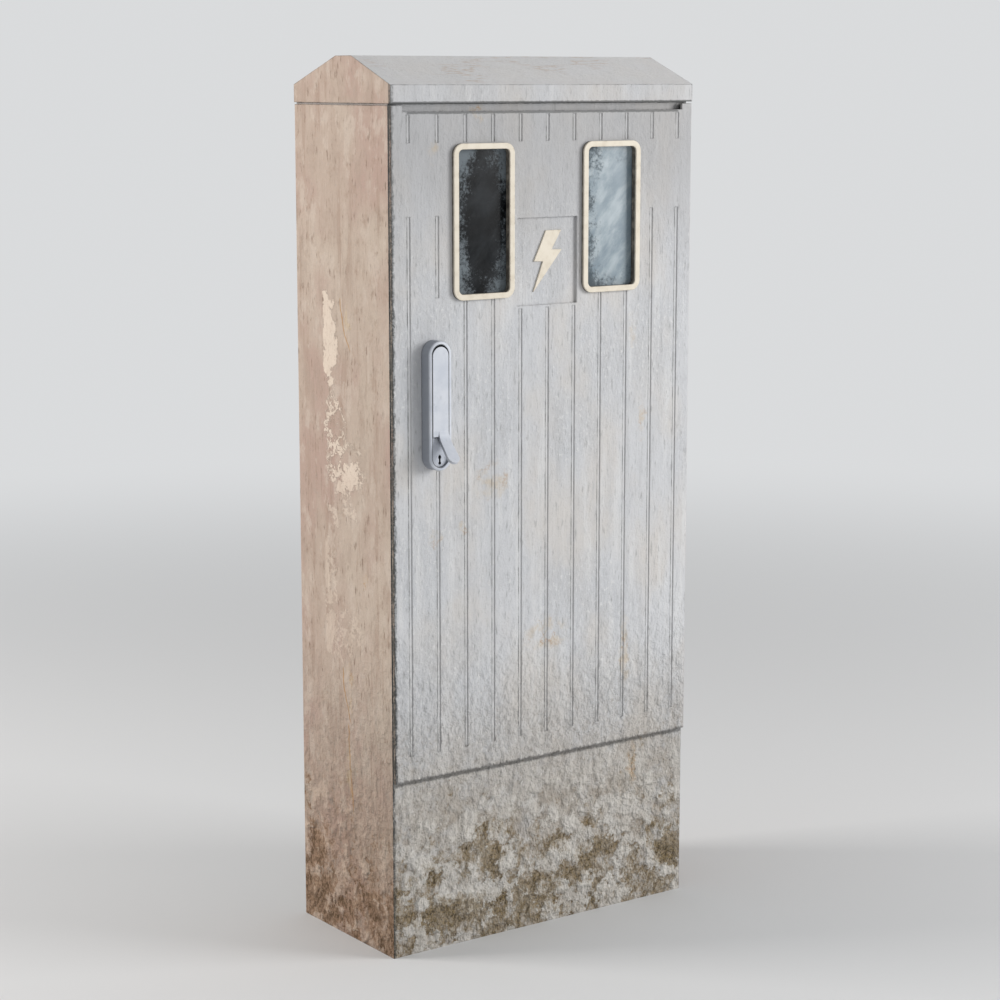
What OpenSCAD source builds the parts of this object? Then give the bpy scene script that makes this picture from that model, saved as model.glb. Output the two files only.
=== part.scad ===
// Roadside fuse and meter cabinet: moulded shell, hinged ribbed door, rod lock, meters and fuse strips.
// The door faces -Y, +Z is up, and the origin is the middle of the footprint on the ground.

/* [Cabinet] */
// Width over the side walls
cabinet_w = 590; // [560:5:760]
// Depth from the face of the door to the back of the rear wall
cabinet_d = 280; // [260:5:400]
// Height from the ground to the ridge
cabinet_h = 1420; // [1400:5:1700]
// Thickness of the moulded walls
wall_t = 5; // [4.5:0.25:6]
// Height of the plinth panel
plinth_h = 284; // [240:2:300]
// Open seam between the walls and the roof
roof_seam = 3; // [2:0.5:5]

/* [Roof] */
// Height of the upright skirt
skirt_h = 28; // [20:1:40]
// Rise from the eaves to the ridge
roof_rise = 44; // [25:1:60]
// Width of the flat along the ridge
ridge_w = 45; // [20:1:90]
// How far the ridge lies in front of the middle
ridge_forward = 8; // [0:1:20]

/* [Door] */
// Thickness of the door's skin
door_t = 5; // [4:0.5:7]
// Gap under the door
door_gap_below = 6; // [4:0.5:9]
// Gap between the door's back and the edges of the walls
door_edge_gap = 3; // [3:0.25:4]
// Rounding of the upright outer edges
edge_r = 2.5; // [1:0.5:3.5]
// Height of the airing slot at the top of the door
slot_h = 9.5; // [6:0.5:10]
// Distance from the end of the airing slot to the side of the door
slot_inset = 21; // [12:1:40]
// Number of upright grooves
groove_count = 11; // [7:2:11]
// Distance between grooves
groove_pitch = 52.8; // [50:0.2:54]
// Width of a groove
groove_w = 6.5; // [4:0.5:9]
// Depth of a groove
groove_depth = 1.2; // [1:0.1:2.5]

/* [Windows] */
// Outer width of a window frame
window_w = 115; // [90:1:120]
// Outer height of a window frame
window_h = 241; // [180:1:246]
// Width of the frame's bar
window_bar = 9; // [7:0.5:12]
// Outer corner radius of the frame
window_r = 17; // [15:0.5:24]
// How far the frame stands in front of the door
window_proud = 6; // [3:0.5:10]
// Distance from a window's middle to the side of the door
window_inset = 169.3; // [163:0.1:172]
// Distance of the windows' middle below the top of the door
window_drop = 178.5; // [176:0.5:190]

/* [Sign recess] */
// Gap between the recessed square and the window frames
sign_gap = 9.2; // [8:0.2:24]
// Height of the recessed square
sign_h = 138; // [100:1:150]
// Depth of the recess
sign_depth = 4.5; // [2:0.5:5]
// Distance of its middle below the top of the door
sign_drop = 245; // [235:1:255]

/* [Handle] */
// Length of the handle's housing
handle_h = 202; // [190:1:230]
// Width of the housing
handle_w = 42.5; // [40:0.5:48]
// How far the housing stands in front of the door
handle_proud = 22; // [21:0.5:26]
// Distance of the handle's middle from the left edge of the door
handle_inset = 74.5; // [70:0.5:80]
// Height of the handle's middle above the bottom of the door
handle_rise = 597; // [560:1:640]
// Width of the rim around the lever
handle_rim = 5.75; // [5:0.25:7]
// Angle of the lever's bent tongue
tongue_angle = 34; // [25:1:40]
// Length of the tongue
tongue_len = 62; // [50:1:66]

/* [Hinges] */
// Number of hinges
hinge_count = 3; // [2:1:4]
// Distance of the hinge line from the side of the cabinet
hinge_inset = 11; // [11:0.25:11.5]
// Distance of the hinge line behind the skin of the door
hinge_setback = 28; // [28:0.5:32]
// Radius of a hinge pin
hinge_pin_r = 3; // [2.5:0.25:3.5]

/* [Lock] */
// Teeth of the lock's pinion
pinion_teeth = 12; // [10:2:14]
// Module of the pinion and the racks
pinion_module = 1.5; // [1.3:0.1:1.6]
// Width of a lock rod
rod_w = 12; // [10:0.5:14]
// Thickness of a lock rod
rod_t = 5; // [4:0.5:6]
// Clear space between a rod's tip and its keeper
rod_tip_gap = 4; // [2:0.5:6]

/* [Inside] */
// Height of a busbar's face
busbar_h = 40; // [30:1:50]
// Thickness of a busbar
busbar_t = 5; // [4:0.5:8]
// Gap between fuse strips
strip_gap = 10; // [6:0.5:20]
// Width of a meter
meter_w = 172; // [150:1:190]
// Height of a meter's base
meter_h = 240; // [220:1:250]

/* [Hidden] */
$fn = 48;

// Overrun of cuts, and the play between pieces that run in each other
overrun = 1;
run_play = 0.05;

// Main planes of the shell
half_w = cabinet_w / 2;
inner_half_w = half_w - wall_t;
front_y = -cabinet_d / 2;
rear_y = cabinet_d / 2;
rear_inner_y = rear_y - wall_t;
eave_z = cabinet_h - roof_rise;
skirt_z = eave_z - skirt_h;
wall_top_z = skirt_z - roof_seam;
door_back_y = front_y + door_t;
wall_front_y = door_back_y + door_edge_gap;
door_bottom_z = plinth_h + door_gap_below;
door_top_z = wall_top_z;
door_h = door_top_z - door_bottom_z;
ridge_y = -ridge_forward;

// Door frame: the walls' front flanges, the sill and the lintel
flange_w = 8;
flange_t = 4;
jamb_x = inner_half_w - flange_w;
lintel_y = wall_front_y + flange_t;
frame_leg_t = 4;
plinth_back_y = wall_front_y + wall_t;
keeper_y = lintel_y + frame_leg_t;
sill_rise = 26;
sill_top_z = plinth_h + sill_rise;
sill_t = 5;
sill_d = 28;
lintel_h = 35;
lintel_z = wall_top_z - lintel_h;
lintel_step_h = 24;
frame_lip = 22;
seam_cover = 2;
roof_bolt_r = 4;
roof_bolt_head_r = 7;
roof_bolt_head_h = 5;
roof_bolt_len = 18;
roof_bolt_inset = 12;
roof_boss_r = 8;
roof_lug_t = 12;
roof_gable_y_inset = 60;

// Seal between the door frame and the door
gasket_w = 5;
gasket_gap = 0.5;
gasket_sill_lap = 14;
gasket_lintel_lap = 13;
gasket_bottom_z = sill_top_z - gasket_sill_lap;
gasket_top_z = lintel_z + gasket_lintel_lap;

// Footing
base_flange_w = 52;
base_end_w = 65;
base_leg_t = 5;
base_leg_h = 60;
anchor_hole_r = 7;
anchor_inset_x = 45;
anchor_inset_y = 40;
anchor_x = half_w - anchor_inset_x;
anchor_y = rear_y - anchor_inset_y;

// Windows: a stack of frame, skin, seal, pane and retainer
window_x = half_w - window_inset;
window_z = door_top_z - window_drop;
window_collar_t = 3;
window_fit = 0.2;
window_inner_r = window_r - window_bar;
pane_margin = 5;
pane_w = window_w + 2 * pane_margin;
pane_h = window_h + 2 * pane_margin;
pane_r = 20;
seal_t = 1.5;
pane_t = 4;
retainer_t = 3;
retainer_bar = 13;
seal_y = door_back_y + seal_t;
pane_y = seal_y + pane_t;
retainer_y = pane_y + retainer_t;

// Sign recess and its backing pad
sign_z = door_top_z - sign_drop;
sign_w = 2 * (window_x - window_w / 2 - sign_gap);
pad_margin = 2;
pad_t = 4;

// Grooves of the door
groove_end_gap = 14;
groove_top_h = 42;
groove_foot = 40.5;
groove_outer_drop = 167.5;
groove_sign_gap = 4;
groove_handle_gap_above = 64;
groove_handle_gap_below = 4;
window_columns = [2, 3];
handle_column = -4;
middle_columns = 1;

// Stiffening ribs behind the door
rib_t = 4;
rib_d = 8;
rib_left_inset = 33;
rib_right_inset = 57;
rib_sill_gap = 8;
rib_lintel_gap = 14;
rib_sign_gap = 20;
rib_lock_gap = 6;
rib_left_x = -half_w + rib_left_inset;
rib_right_x = half_w - rib_right_inset;
rib_bottom_z = sill_top_z + rib_sill_gap;
rib_top_z = lintel_z - rib_lintel_gap;
rib_middle_z = sign_z - sign_h / 2 - rib_sign_gap;

// Handle
handle_x = -half_w + handle_inset;
handle_z = door_bottom_z + handle_rise;
handle_face_y = front_y - handle_proud;
handle_r = handle_w / 2;
handle_edge_r = 4;
handle_floor_t = 4;
handle_sill_depth = 4;
lever_gap = 1;
lever_top_gap = 3;
lever_t = 12;
lever_r = handle_r - handle_rim - lever_gap;
lever_top_z = handle_z + handle_h / 2 - handle_rim - lever_top_gap;
lever_pin_drop = 9;
lever_pin_r = 2.5;
lever_pin_z = lever_top_z - lever_pin_drop;
lever_pin_y = handle_face_y + lever_t / 2;
tongue_t = 7.5;
tongue_tip_r = 10;
tongue_root_drop = 39;
pocket_margin = 10;
lock_drop = 84;
tongue_root_z = handle_z - tongue_root_drop;
pocket_end_z = tongue_root_z - pocket_margin;
lock_z = handle_z - lock_drop;
keyhole_r = 2.5;
keyhole_pitch = 10;
keyhole_depth = 6;

// Lock cylinder, pinion and rods
cylinder_r = 8.5;
cylinder_tail_r = 4;
pitch_r = pinion_teeth * pinion_module / 2;
pressure_angle = 20;
base_r = pitch_r * cos(pressure_angle);
addendum_share = 2 / 3;
dedendum_share = 0.9;
tooth_addendum = pinion_module * addendum_share;
tooth_dedendum = pinion_module * dedendum_share;
tooth_backlash = 0.3;
tip_r = pitch_r + tooth_addendum;
root_r = pitch_r - tooth_dedendum;
tooth_pitch = PI * pinion_module;
tooth_steps = 4;
rack_first = -5;
rack_last = 2;
rack_end_gap = 26;
rod_play = 0.5;
rod_y = keeper_y + rod_play;
rod_back_y = rod_y + rod_t;
rod_edge = pitch_r + tooth_dedendum;
upper_rod_len = lintel_z - rod_tip_gap - lock_z;
lower_rod_len = lock_z - sill_top_z - rod_tip_gap;
case_t = 3;
case_half_w = rod_edge + rod_w + rod_play + case_t;
case_half_h = 38;
case_room = 2;
case_back_y = rod_back_y + case_room;
cover_t = 2;
guide_t = 5;
guide_h = 16;
guide_shares = [0.32, 0.62, 0.93];

// Hinges: goose-neck arms on the door, brackets on the right wall
hinge_x = half_w - hinge_inset;
hinge_y = door_back_y + hinge_setback;
knuckle_wall_gap = 0.5;
knuckle_r = hinge_inset - wall_t - knuckle_wall_gap;
knuckle_h = 22;
knuckle_gap = 0.4;
hinge_h = 3 * knuckle_h;
hinge_margin = 130;
bracket_t = 3;
bracket_d = 34;
arm_t = 4;
arm_back = 12;
arm_in = 30;
arm_foot_w = 16;
arm_foot_t = 3;
pin_head_r = 5;
pin_head_h = 2.5;

// Room for the meters at the top, the fuse strips under them and the neutral bar at the bottom
meter_drop = 62;
meter_top_z = wall_top_z - meter_drop;
meter_bottom_z = meter_top_z - meter_h;
plate_bottom_z = sill_top_z;
neutral_rise = 48;
neutral_z = plate_bottom_z + neutral_rise;
strip_meter_gap = 27;
strip_neutral_gap = 36;
strip_top_z = meter_bottom_z - strip_meter_gap;
strip_bottom_z = neutral_z + busbar_h / 2 + strip_neutral_gap;
strip_h = strip_top_z - strip_bottom_z;

// Mounting plate
plate_t = 3;
plate_gap = 22;
plate_margin_x = 30;
plate_y = rear_inner_y - plate_gap - plate_t;
plate_half_w = inner_half_w - plate_margin_x;
spacer_r = 8;
plate_bolt_r = 4;
plate_bolt_head_r = 7;
plate_bolt_head_h = 5;
spacer_inset = 9;
spacer_rows = 3;
plate_bolt_gap = 1;
plate_top_z = meter_top_z + plate_bolt_gap + plate_bolt_head_r + spacer_inset;

// Busbars and neutral bar
pole_pitch_share = 0.3073;
busbar_pitch = strip_h * pole_pitch_share;
busbar_mid_z = (strip_top_z + strip_bottom_z) / 2;
busbar_standoff = 20;
busbar_y = plate_y - busbar_standoff;
busbar_front_y = busbar_y - busbar_t;
busbar_inset = 45;
busbar_half_l = inner_half_w - busbar_inset;
support_w = 26;
support_inset = 18;
support_x = busbar_half_l - support_inset;
support_over = 16;
bar_hole_r = 4.5;
bar_hole_margin = 30;

// Fuse strips
strip_count = 4;
strip_end_gap = 25;
strip_pitch = 2 * (busbar_half_l - strip_end_gap) / strip_count;
strip_w = strip_pitch - strip_gap;
strip_base_d = 34;
strip_lid_d = 42;
strip_wall = 4;
strip_front_y = busbar_front_y - strip_base_d;
lid_front_y = strip_front_y - strip_lid_d;
lid_edge_r = 8;
lid_slot_w = 34;
lid_slot_share = 0.378;
lid_slot_h = busbar_pitch * lid_slot_share;
grip_w = 46;
grip_h = 18;
grip_d = 14;
fuse_w = 44;
fuse_h_share = 0.324;
fuse_h = busbar_pitch * fuse_h_share;
fuse_d = 36;
fuse_blade_w = 22;
fuse_blade_share = 0.162;
fuse_blade_h = busbar_pitch * fuse_blade_share;
fuse_blade_t = 6;
jaw_t = 3;
jaw_d = 22;
jaw_foot_t = 4;
jaw_end_gap = 0.5;
jaw_h = fuse_blade_h - 2 * jaw_end_gap;

// Meters behind the windows
meter_gap = 79.4;
meter_x = (meter_w + meter_gap) / 2;
meter_base_d = 40;
meter_base_y = plate_y - meter_base_d;
meter_cover_h_share = 0.68;
meter_cover_h = meter_h * meter_cover_h_share;
meter_cover_d = 62;
meter_inset = 6;
meter_r = 10;
meter_dial_w = 96;
meter_dial_h = 54;
meter_dial_depth = 5;
terminal_d = 48;
terminal_gap = 1;
terminal_screw_r = 5;
terminal_screw_h = 3;

// Cable clamps
rail_drop = 60;
rail_z = plinth_h - rail_drop;
rail_h = 30;
rail_d = 24;
rail_t = 3;
rail_y = -12;
clamp_w = 60;
clamp_h = 46;
clamp_d = 30;
clamp_r = 16;

shell_grey = "#c6c5c6";
side_tan = "#b9a595";
cream = "#ede3cf";
handle_grey = "#c4cbd6";
dark_glass = "#1b1d20";
pale_glass = "#a7b5bf";
rubber = "#26262a";
steel = "#9a9ea3";
copper = "#b8734a";
moulding = "#d8d6cf";
dark_plastic = "#3a3c40";
ceramic = "#e6e2da";

// General shapes

module box(low, high) {
    translate(low)
        cube(high - low);
}

// Stands a drawing of X and Z up and gives it the depth from y0 back to y1
module along_y(y0, y1) {
    translate([0, y1, 0])
        rotate([90, 0, 0])
            linear_extrude(y1 - y0)
                children();
}

// Gives a drawing of Y and Z the length from x0 to x1
module along_x(x0, x1) {
    translate([x0, 0, 0])
        rotate([90, 0, 90])
            linear_extrude(x1 - x0)
                children();
}

module rounded_rect(w, h, r) {
    square([w - 2 * r, h], center = true);
    square([w, h - 2 * r], center = true);
    for (sx = [-1, 1], sz = [-1, 1])
        translate([sx * (w / 2 - r), sz * (h / 2 - r)])
            circle(r);
}

module obround(w, h) {
    rounded_rect(w, h, w / 2 - run_play);
}

module rounded_ring(w, h, r, bar) {
    difference() {
        rounded_rect(w, h, r);
        rounded_rect(w - 2 * bar, h - 2 * bar, max(r - bar, bar / 2));
    }
}

// A round rod along Y from y0 to y1
module round_bar(x, z, r, y0, y1) {
    translate([x, y1, z])
        rotate([90, 0, 0])
            cylinder(r = r, h = y1 - y0);
}

// Shell

module side_wall(side) {
    mirror([side < 0 ? 1 : 0, 0, 0]) {
        linear_extrude(wall_top_z)
            difference() {
                translate([inner_half_w, wall_front_y])
                    square([wall_t, rear_y - wall_front_y]);
                translate([half_w, rear_y])
                    corner_cut(-1, -1);
            }
        box([jamb_x, wall_front_y, plinth_h], [inner_half_w + wall_t / 2, lintel_y, wall_top_z]);
    }
}

// What a rounded upright edge takes away, with the corner at the origin and the solid towards sx, sy
module corner_cut(sx, sy) {
    difference() {
        translate([sx, sy] * (edge_r - overrun) / 2)
            square(edge_r + overrun, center = true);
        translate([sx, sy] * edge_r)
            circle(edge_r);
    }
}

module left_wall() {
    color(side_tan)
        side_wall(-1);
}

module right_wall() {
    color(side_tan)
        side_wall(1);
}

module rear_wall() {
    color(shell_grey)
        box([-inner_half_w, rear_inner_y, 0], [inner_half_w, rear_y, wall_top_z]);
}

// Section of the roof across its ridge, drawn in Y and Z
module roof_section(inset) {
    polygon([
        [front_y + inset, skirt_z],
        [front_y + inset, eave_z - inset / 2],
        [ridge_y - ridge_w / 2, cabinet_h - inset],
        [ridge_y + ridge_w / 2, cabinet_h - inset],
        [rear_y - inset, eave_z - inset / 2],
        [rear_y - inset, skirt_z]
    ]);
}

// The four points at which the roof is bolted down
module at_roof_bolts() {
    for (sx = [-1, 1], sy = [-1, 1])
        translate([sx * (inner_half_w - roof_bolt_inset), sy * (cabinet_d / 2 - roof_gable_y_inset), 0])
            children();
}

module roof() {
    color(shell_grey) {
        difference() {
            along_x(-half_w, half_w)
                roof_section(0);
            along_x(-inner_half_w, inner_half_w)
                translate([0, -overrun])
                    roof_section(wall_t);
            along_x(-inner_half_w, inner_half_w)
                translate([front_y + wall_t, skirt_z - 2 * overrun])
                    square([cabinet_d - 2 * wall_t, 2 * overrun]);
        }
        difference() {
            at_roof_bolts()
                roof_lug();
            at_roof_bolts()
                translate([0, 0, skirt_z - overrun])
                    cylinder(r = roof_bolt_r + run_play, h = roof_lug_t + 2 * overrun);
        }
    }
}

// Lug inside a gable that takes a roof bolt
module roof_lug() {
    lug_half_w = roof_bolt_inset + run_play;
    translate([-lug_half_w, -roof_boss_r, skirt_z])
        cube([2 * lug_half_w, 2 * roof_boss_r, roof_lug_t]);
}

module roof_bolts() {
    color(steel)
        at_roof_bolts() {
            translate([0, 0, skirt_z - frame_leg_t - roof_seam - roof_bolt_head_h])
                cylinder(r = roof_bolt_head_r, h = roof_bolt_head_h, $fn = 6);
            translate([0, 0, skirt_z - frame_leg_t - roof_seam])
                cylinder(r = roof_bolt_r, h = roof_bolt_len);
        }
}

module base_frame() {
    color(steel)
        difference() {
            box([-inner_half_w, plinth_back_y, 0], [inner_half_w, rear_inner_y, base_leg_h]);
            box(
                [-inner_half_w + base_leg_t, plinth_back_y + base_leg_t, base_leg_t],
                [inner_half_w - base_leg_t, rear_inner_y - base_leg_t, base_leg_h + overrun]
            );
            box(
                [-inner_half_w + base_end_w, lintel_y + base_flange_w, -overrun],
                [inner_half_w - base_end_w, rear_inner_y - base_flange_w, base_leg_t + overrun]
            );
            for (sx = [-1, 1], sy = [-1, 1])
                translate([sx * anchor_x, sy * anchor_y, -overrun])
                    cylinder(r = anchor_hole_r, h = base_leg_t + 2 * overrun);
        }
}

module plinth_panel() {
    color(shell_grey)
        box([-inner_half_w, wall_front_y, 0], [inner_half_w, plinth_back_y, plinth_h]);
}

module sill() {
    color(shell_grey) {
        box([-jamb_x, wall_front_y, plinth_h], [jamb_x, keeper_y, sill_top_z]);
        box([-inner_half_w, lintel_y, plinth_h], [inner_half_w, lintel_y + sill_d, plinth_h + sill_t]);
    }
}

module top_frame() {
    color(shell_grey) {
        difference() {
            box([-inner_half_w, lintel_y, lintel_z], [inner_half_w, rear_inner_y, wall_top_z]);
            box(
                [-inner_half_w + frame_leg_t, keeper_y, lintel_z - overrun],
                [inner_half_w - frame_leg_t, rear_inner_y - frame_leg_t, wall_top_z - frame_leg_t]
            );
            frame_opening();
            at_roof_bolts()
                frame_bolt_hole();
        }
        difference() {
            box(
                [-inner_half_w - seam_cover, lintel_y, wall_top_z],
                [inner_half_w + seam_cover, rear_inner_y + seam_cover, skirt_z]
            );
            frame_opening();
            at_roof_bolts()
                frame_bolt_hole();
        }
        box([-jamb_x, wall_front_y, lintel_z], [jamb_x, lintel_y, lintel_z + lintel_step_h]);
    }
}

module frame_opening() {
    box(
        [-inner_half_w + frame_lip, lintel_y + frame_lip, lintel_z - overrun],
        [inner_half_w - frame_lip, rear_inner_y - frame_lip, skirt_z + overrun]
    );
}

module frame_bolt_hole() {
    translate([0, 0, lintel_z])
        cylinder(r = roof_bolt_r + run_play, h = skirt_z - lintel_z + overrun);
}

module body_gasket() {
    gasket_half_w = jamb_x + gasket_w;
    color(rubber)
        along_y(door_back_y + gasket_gap, wall_front_y)
            difference() {
                translate([-gasket_half_w, gasket_bottom_z])
                    square([2 * gasket_half_w, gasket_top_z - gasket_bottom_z]);
                translate([-jamb_x, gasket_bottom_z + gasket_w])
                    square([2 * jamb_x, gasket_top_z - gasket_bottom_z - 2 * gasket_w]);
            }
}

// Hinges

module at_hinges() {
    span = door_h - 2 * hinge_margin;
    for (i = [0 : hinge_count - 1])
        translate([hinge_x, hinge_y, door_bottom_z + hinge_margin + span * i / (hinge_count - 1)])
            children();
}

module hinge_brackets() {
    wall_x = hinge_inset - wall_t;
    color(steel)
        at_hinges() {
            for (level = [0, 2])
                translate([0, 0, level * knuckle_h - hinge_h / 2])
                    difference() {
                        linear_extrude(knuckle_h) {
                            circle(knuckle_r);
                            square([wall_x, knuckle_r]);
                            translate([wall_x - bracket_t, 0])
                                square([bracket_t, bracket_d]);
                        }
                        translate([0, 0, -overrun])
                            cylinder(r = hinge_pin_r + run_play, h = knuckle_h + 2 * overrun);
                    }
            translate([wall_x - bracket_t, 2 * knuckle_r, -knuckle_h / 2])
                cube([bracket_t, bracket_d - 2 * knuckle_r, knuckle_h]);
        }
}

module hinge_pins() {
    color(steel)
        at_hinges() {
            translate([0, 0, -hinge_h / 2])
                cylinder(r = hinge_pin_r, h = hinge_h);
            translate([0, 0, hinge_h / 2])
                cylinder(r = pin_head_r, h = pin_head_h);
        }
}

module hinge_arms() {
    arm_h = knuckle_h - 2 * knuckle_gap;
    color(steel)
        at_hinges()
            translate([0, 0, -arm_h / 2])
                difference() {
                    linear_extrude(arm_h) {
                        circle(knuckle_r);
                        translate([-arm_t / 2, 0])
                            square([arm_t, arm_back + arm_t]);
                        translate([-arm_in - arm_t, arm_back])
                            square([arm_in + arm_t + arm_t / 2, arm_t]);
                        translate([-arm_in - arm_t, -hinge_setback])
                            square([arm_t, hinge_setback + arm_back + arm_t]);
                        translate([-arm_in - arm_foot_w / 2 - arm_t / 2, -hinge_setback])
                            square([arm_foot_w, arm_foot_t]);
                    }
                    translate([0, 0, -overrun])
                        cylinder(r = hinge_pin_r + run_play, h = arm_h + 2 * overrun);
                }
}

// Door

module door_panel() {
    color(shell_grey) {
        difference() {
            door_skin();
            door_grooves();
            for (side = [-1, 1])
                along_y(front_y - overrun, door_back_y + overrun)
                    translate([side * window_x, window_z])
                        rounded_rect(
                            window_w - 2 * (window_bar - window_collar_t - window_fit),
                            window_h - 2 * (window_bar - window_collar_t - window_fit),
                            window_inner_r + window_collar_t + window_fit
                        );
            along_y(front_y - overrun, front_y + sign_depth)
                translate([0, sign_z])
                    square([sign_w, sign_h], center = true);
            round_bar(handle_x, lock_z, cylinder_r + lever_gap, front_y - overrun, door_back_y + overrun);
        }
        door_ribs();
    }
}

module door_skin() {
    translate([0, 0, door_bottom_z])
        linear_extrude(door_h)
            difference() {
                translate([-half_w, front_y])
                    square([cabinet_w, door_t]);
                translate([-half_w, front_y])
                    corner_cut(1, 1);
                translate([half_w, front_y])
                    corner_cut(-1, 1);
            }
    box(
        [-sign_w / 2 - pad_margin, door_back_y - door_t / 2, sign_z - sign_h / 2 - pad_margin],
        [sign_w / 2 + pad_margin, door_back_y + pad_t, sign_z + sign_h / 2 + pad_margin]
    );
}

// Grooves and the airing slot, cut from the face of the door
module door_grooves() {
    reach = (groove_count - 1) / 2;
    main_foot_z = door_bottom_z + groove_foot;
    handle_gap_z = handle_z - handle_h / 2 - groove_handle_gap_below;
    box(
        [-half_w + slot_inset, front_y - overrun, door_top_z - slot_h],
        [half_w - slot_inset, door_back_y + overrun, door_top_z + overrun]
    );
    for (i = [-reach : reach]) {
        groove(i, door_top_z - groove_end_gap - groove_top_h, door_top_z - groove_end_gap);
        groove(i, main_foot_z, i == handle_column ? handle_gap_z : groove_head(i));
    }
    groove(handle_column, handle_z + handle_h / 2 + groove_handle_gap_above, groove_head(handle_column));
}

// Height at which the long part of a groove ends
function groove_head(i) =
    abs(i) <= middle_columns ? sign_z - sign_h / 2 - groove_sign_gap
    : len(search(abs(i), window_columns)) > 0 ? window_z - window_h / 2 + window_bar
    : door_top_z - groove_outer_drop;

module groove(i, z0, z1) {
    box(
        [i * groove_pitch - groove_w / 2, front_y - overrun, z0],
        [i * groove_pitch + groove_w / 2, front_y + groove_depth, z1]
    );
}

module door_ribs() {
    rib_back_y = door_back_y + rib_d;
    for (x = [rib_left_x, rib_right_x])
        box([x, door_back_y, rib_bottom_z], [x + rib_t, rib_back_y, rib_top_z]);
    box(
        [rib_left_x, door_back_y, rib_bottom_z],
        [rib_right_x + rib_t, rib_back_y, rib_bottom_z + rib_t]
    );
    box(
        [handle_x + case_half_w + rib_lock_gap, door_back_y, rib_middle_z],
        [rib_right_x + rib_t, rib_back_y, rib_middle_z + rib_t]
    );
}

// Windows

module at_window(side) {
    translate([side * window_x, 0, 0])
        children();
}

module window_frame(side) {
    color(cream)
        at_window(side) {
            along_y(front_y - window_proud, front_y)
                translate([0, window_z])
                    rounded_ring(window_w, window_h, window_r, window_bar);
            along_y(front_y, door_back_y)
                translate([0, window_z])
                    rounded_ring(
                        window_w - 2 * (window_bar - window_collar_t),
                        window_h - 2 * (window_bar - window_collar_t),
                        window_inner_r + window_collar_t,
                        window_collar_t
                    );
        }
}

module window_seal(side) {
    color(rubber)
        at_window(side)
            along_y(door_back_y, seal_y)
                translate([0, window_z])
                    rounded_ring(pane_w, pane_h, pane_r, retainer_bar);
}

module window_pane(side) {
    color(side < 0 ? dark_glass : pale_glass)
        at_window(side)
            along_y(seal_y, pane_y)
                translate([0, window_z])
                    rounded_rect(pane_w, pane_h, pane_r);
}

module pane_retainer(side) {
    color(moulding)
        at_window(side)
            along_y(pane_y, retainer_y)
                translate([0, window_z])
                    rounded_ring(pane_w, pane_h, pane_r, retainer_bar);
}

module left_window_frame() window_frame(-1);
module right_window_frame() window_frame(1);
module left_window_seal() window_seal(-1);
module right_window_seal() window_seal(1);
module left_window_pane() window_pane(-1);
module right_window_pane() window_pane(1);
module left_pane_retainer() pane_retainer(-1);
module right_pane_retainer() pane_retainer(1);

// Handle

// Half of the housing's section, from its middle out to its rounded front edge
module housing_half_section() {
    square([handle_r, handle_proud - handle_edge_r]);
    square([handle_r - handle_edge_r, handle_proud]);
    translate([handle_r - handle_edge_r, handle_proud - handle_edge_r])
        circle(handle_edge_r);
}

module housing_blank() {
    straight = handle_h - handle_w;
    translate([handle_x, front_y, handle_z])
        rotate([90, 0, 0]) {
            rotate([90, 0, 0])
                linear_extrude(straight, center = true) {
                    housing_half_section();
                    mirror([1, 0])
                        housing_half_section();
                }
            for (s = [-1, 1])
                translate([0, s * straight / 2, 0])
                    rotate_extrude()
                        housing_half_section();
        }
}

// Opening of the housing inside its rim
module housing_mouth() {
    translate([handle_x, handle_z])
        obround(handle_w - 2 * handle_rim, handle_h - 2 * handle_rim);
}

module handle_housing() {
    color(handle_grey)
        difference() {
            housing_blank();
            along_y(handle_face_y - overrun, handle_face_y + handle_sill_depth)
                housing_mouth();
            along_y(handle_face_y - overrun, front_y - handle_floor_t)
                intersection() {
                    housing_mouth();
                    translate([handle_x - handle_r, pocket_end_z])
                        square([handle_w, handle_h]);
                }
            round_bar(handle_x, lock_z, cylinder_r + run_play, handle_face_y - overrun, front_y + overrun);
            translate([handle_x - handle_r + handle_rim / 2, lever_pin_y, lever_pin_z])
                rotate([0, 90, 0])
                    cylinder(r = lever_pin_r + run_play, h = handle_w);
        }
}

module lever_pin() {
    color(steel)
        translate([handle_x - handle_r + handle_rim / 2, lever_pin_y, lever_pin_z])
            rotate([0, 90, 0])
                cylinder(r = lever_pin_r, h = handle_w - handle_rim);
}

// Side view of the lever, drawn in Y and Z: the flat bar and its bent tongue
module lever_side() {
    along = [-sin(tongue_angle), -cos(tongue_angle)];
    across = [cos(tongue_angle), -sin(tongue_angle)];
    root = [handle_face_y, tongue_root_z];
    tip = root + along * (tongue_len - tongue_t / 2);
    translate(root)
        square([lever_t, lever_top_z - tongue_root_z]);
    polygon([root, tip, tip + across * tongue_t, root + across * tongue_t, root + [lever_t, 0]]);
    translate(tip + across * tongue_t / 2)
        circle(tongue_t / 2);
}

// Front view of the lever, drawn in X and Z
module lever_front() {
    tip_z = tongue_root_z - tongue_len * cos(tongue_angle) + tongue_tip_r / 2;
    translate([handle_x, lever_top_z - lever_r])
        circle(lever_r);
    translate([handle_x - lever_r, tongue_root_z])
        square([2 * lever_r, lever_top_z - lever_r - tongue_root_z]);
    polygon([
        [handle_x - lever_r, tongue_root_z],
        [handle_x - tongue_tip_r, tip_z],
        [handle_x + tongue_tip_r, tip_z],
        [handle_x + lever_r, tongue_root_z]
    ]);
    translate([handle_x, tip_z])
        circle(tongue_tip_r);
}

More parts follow.
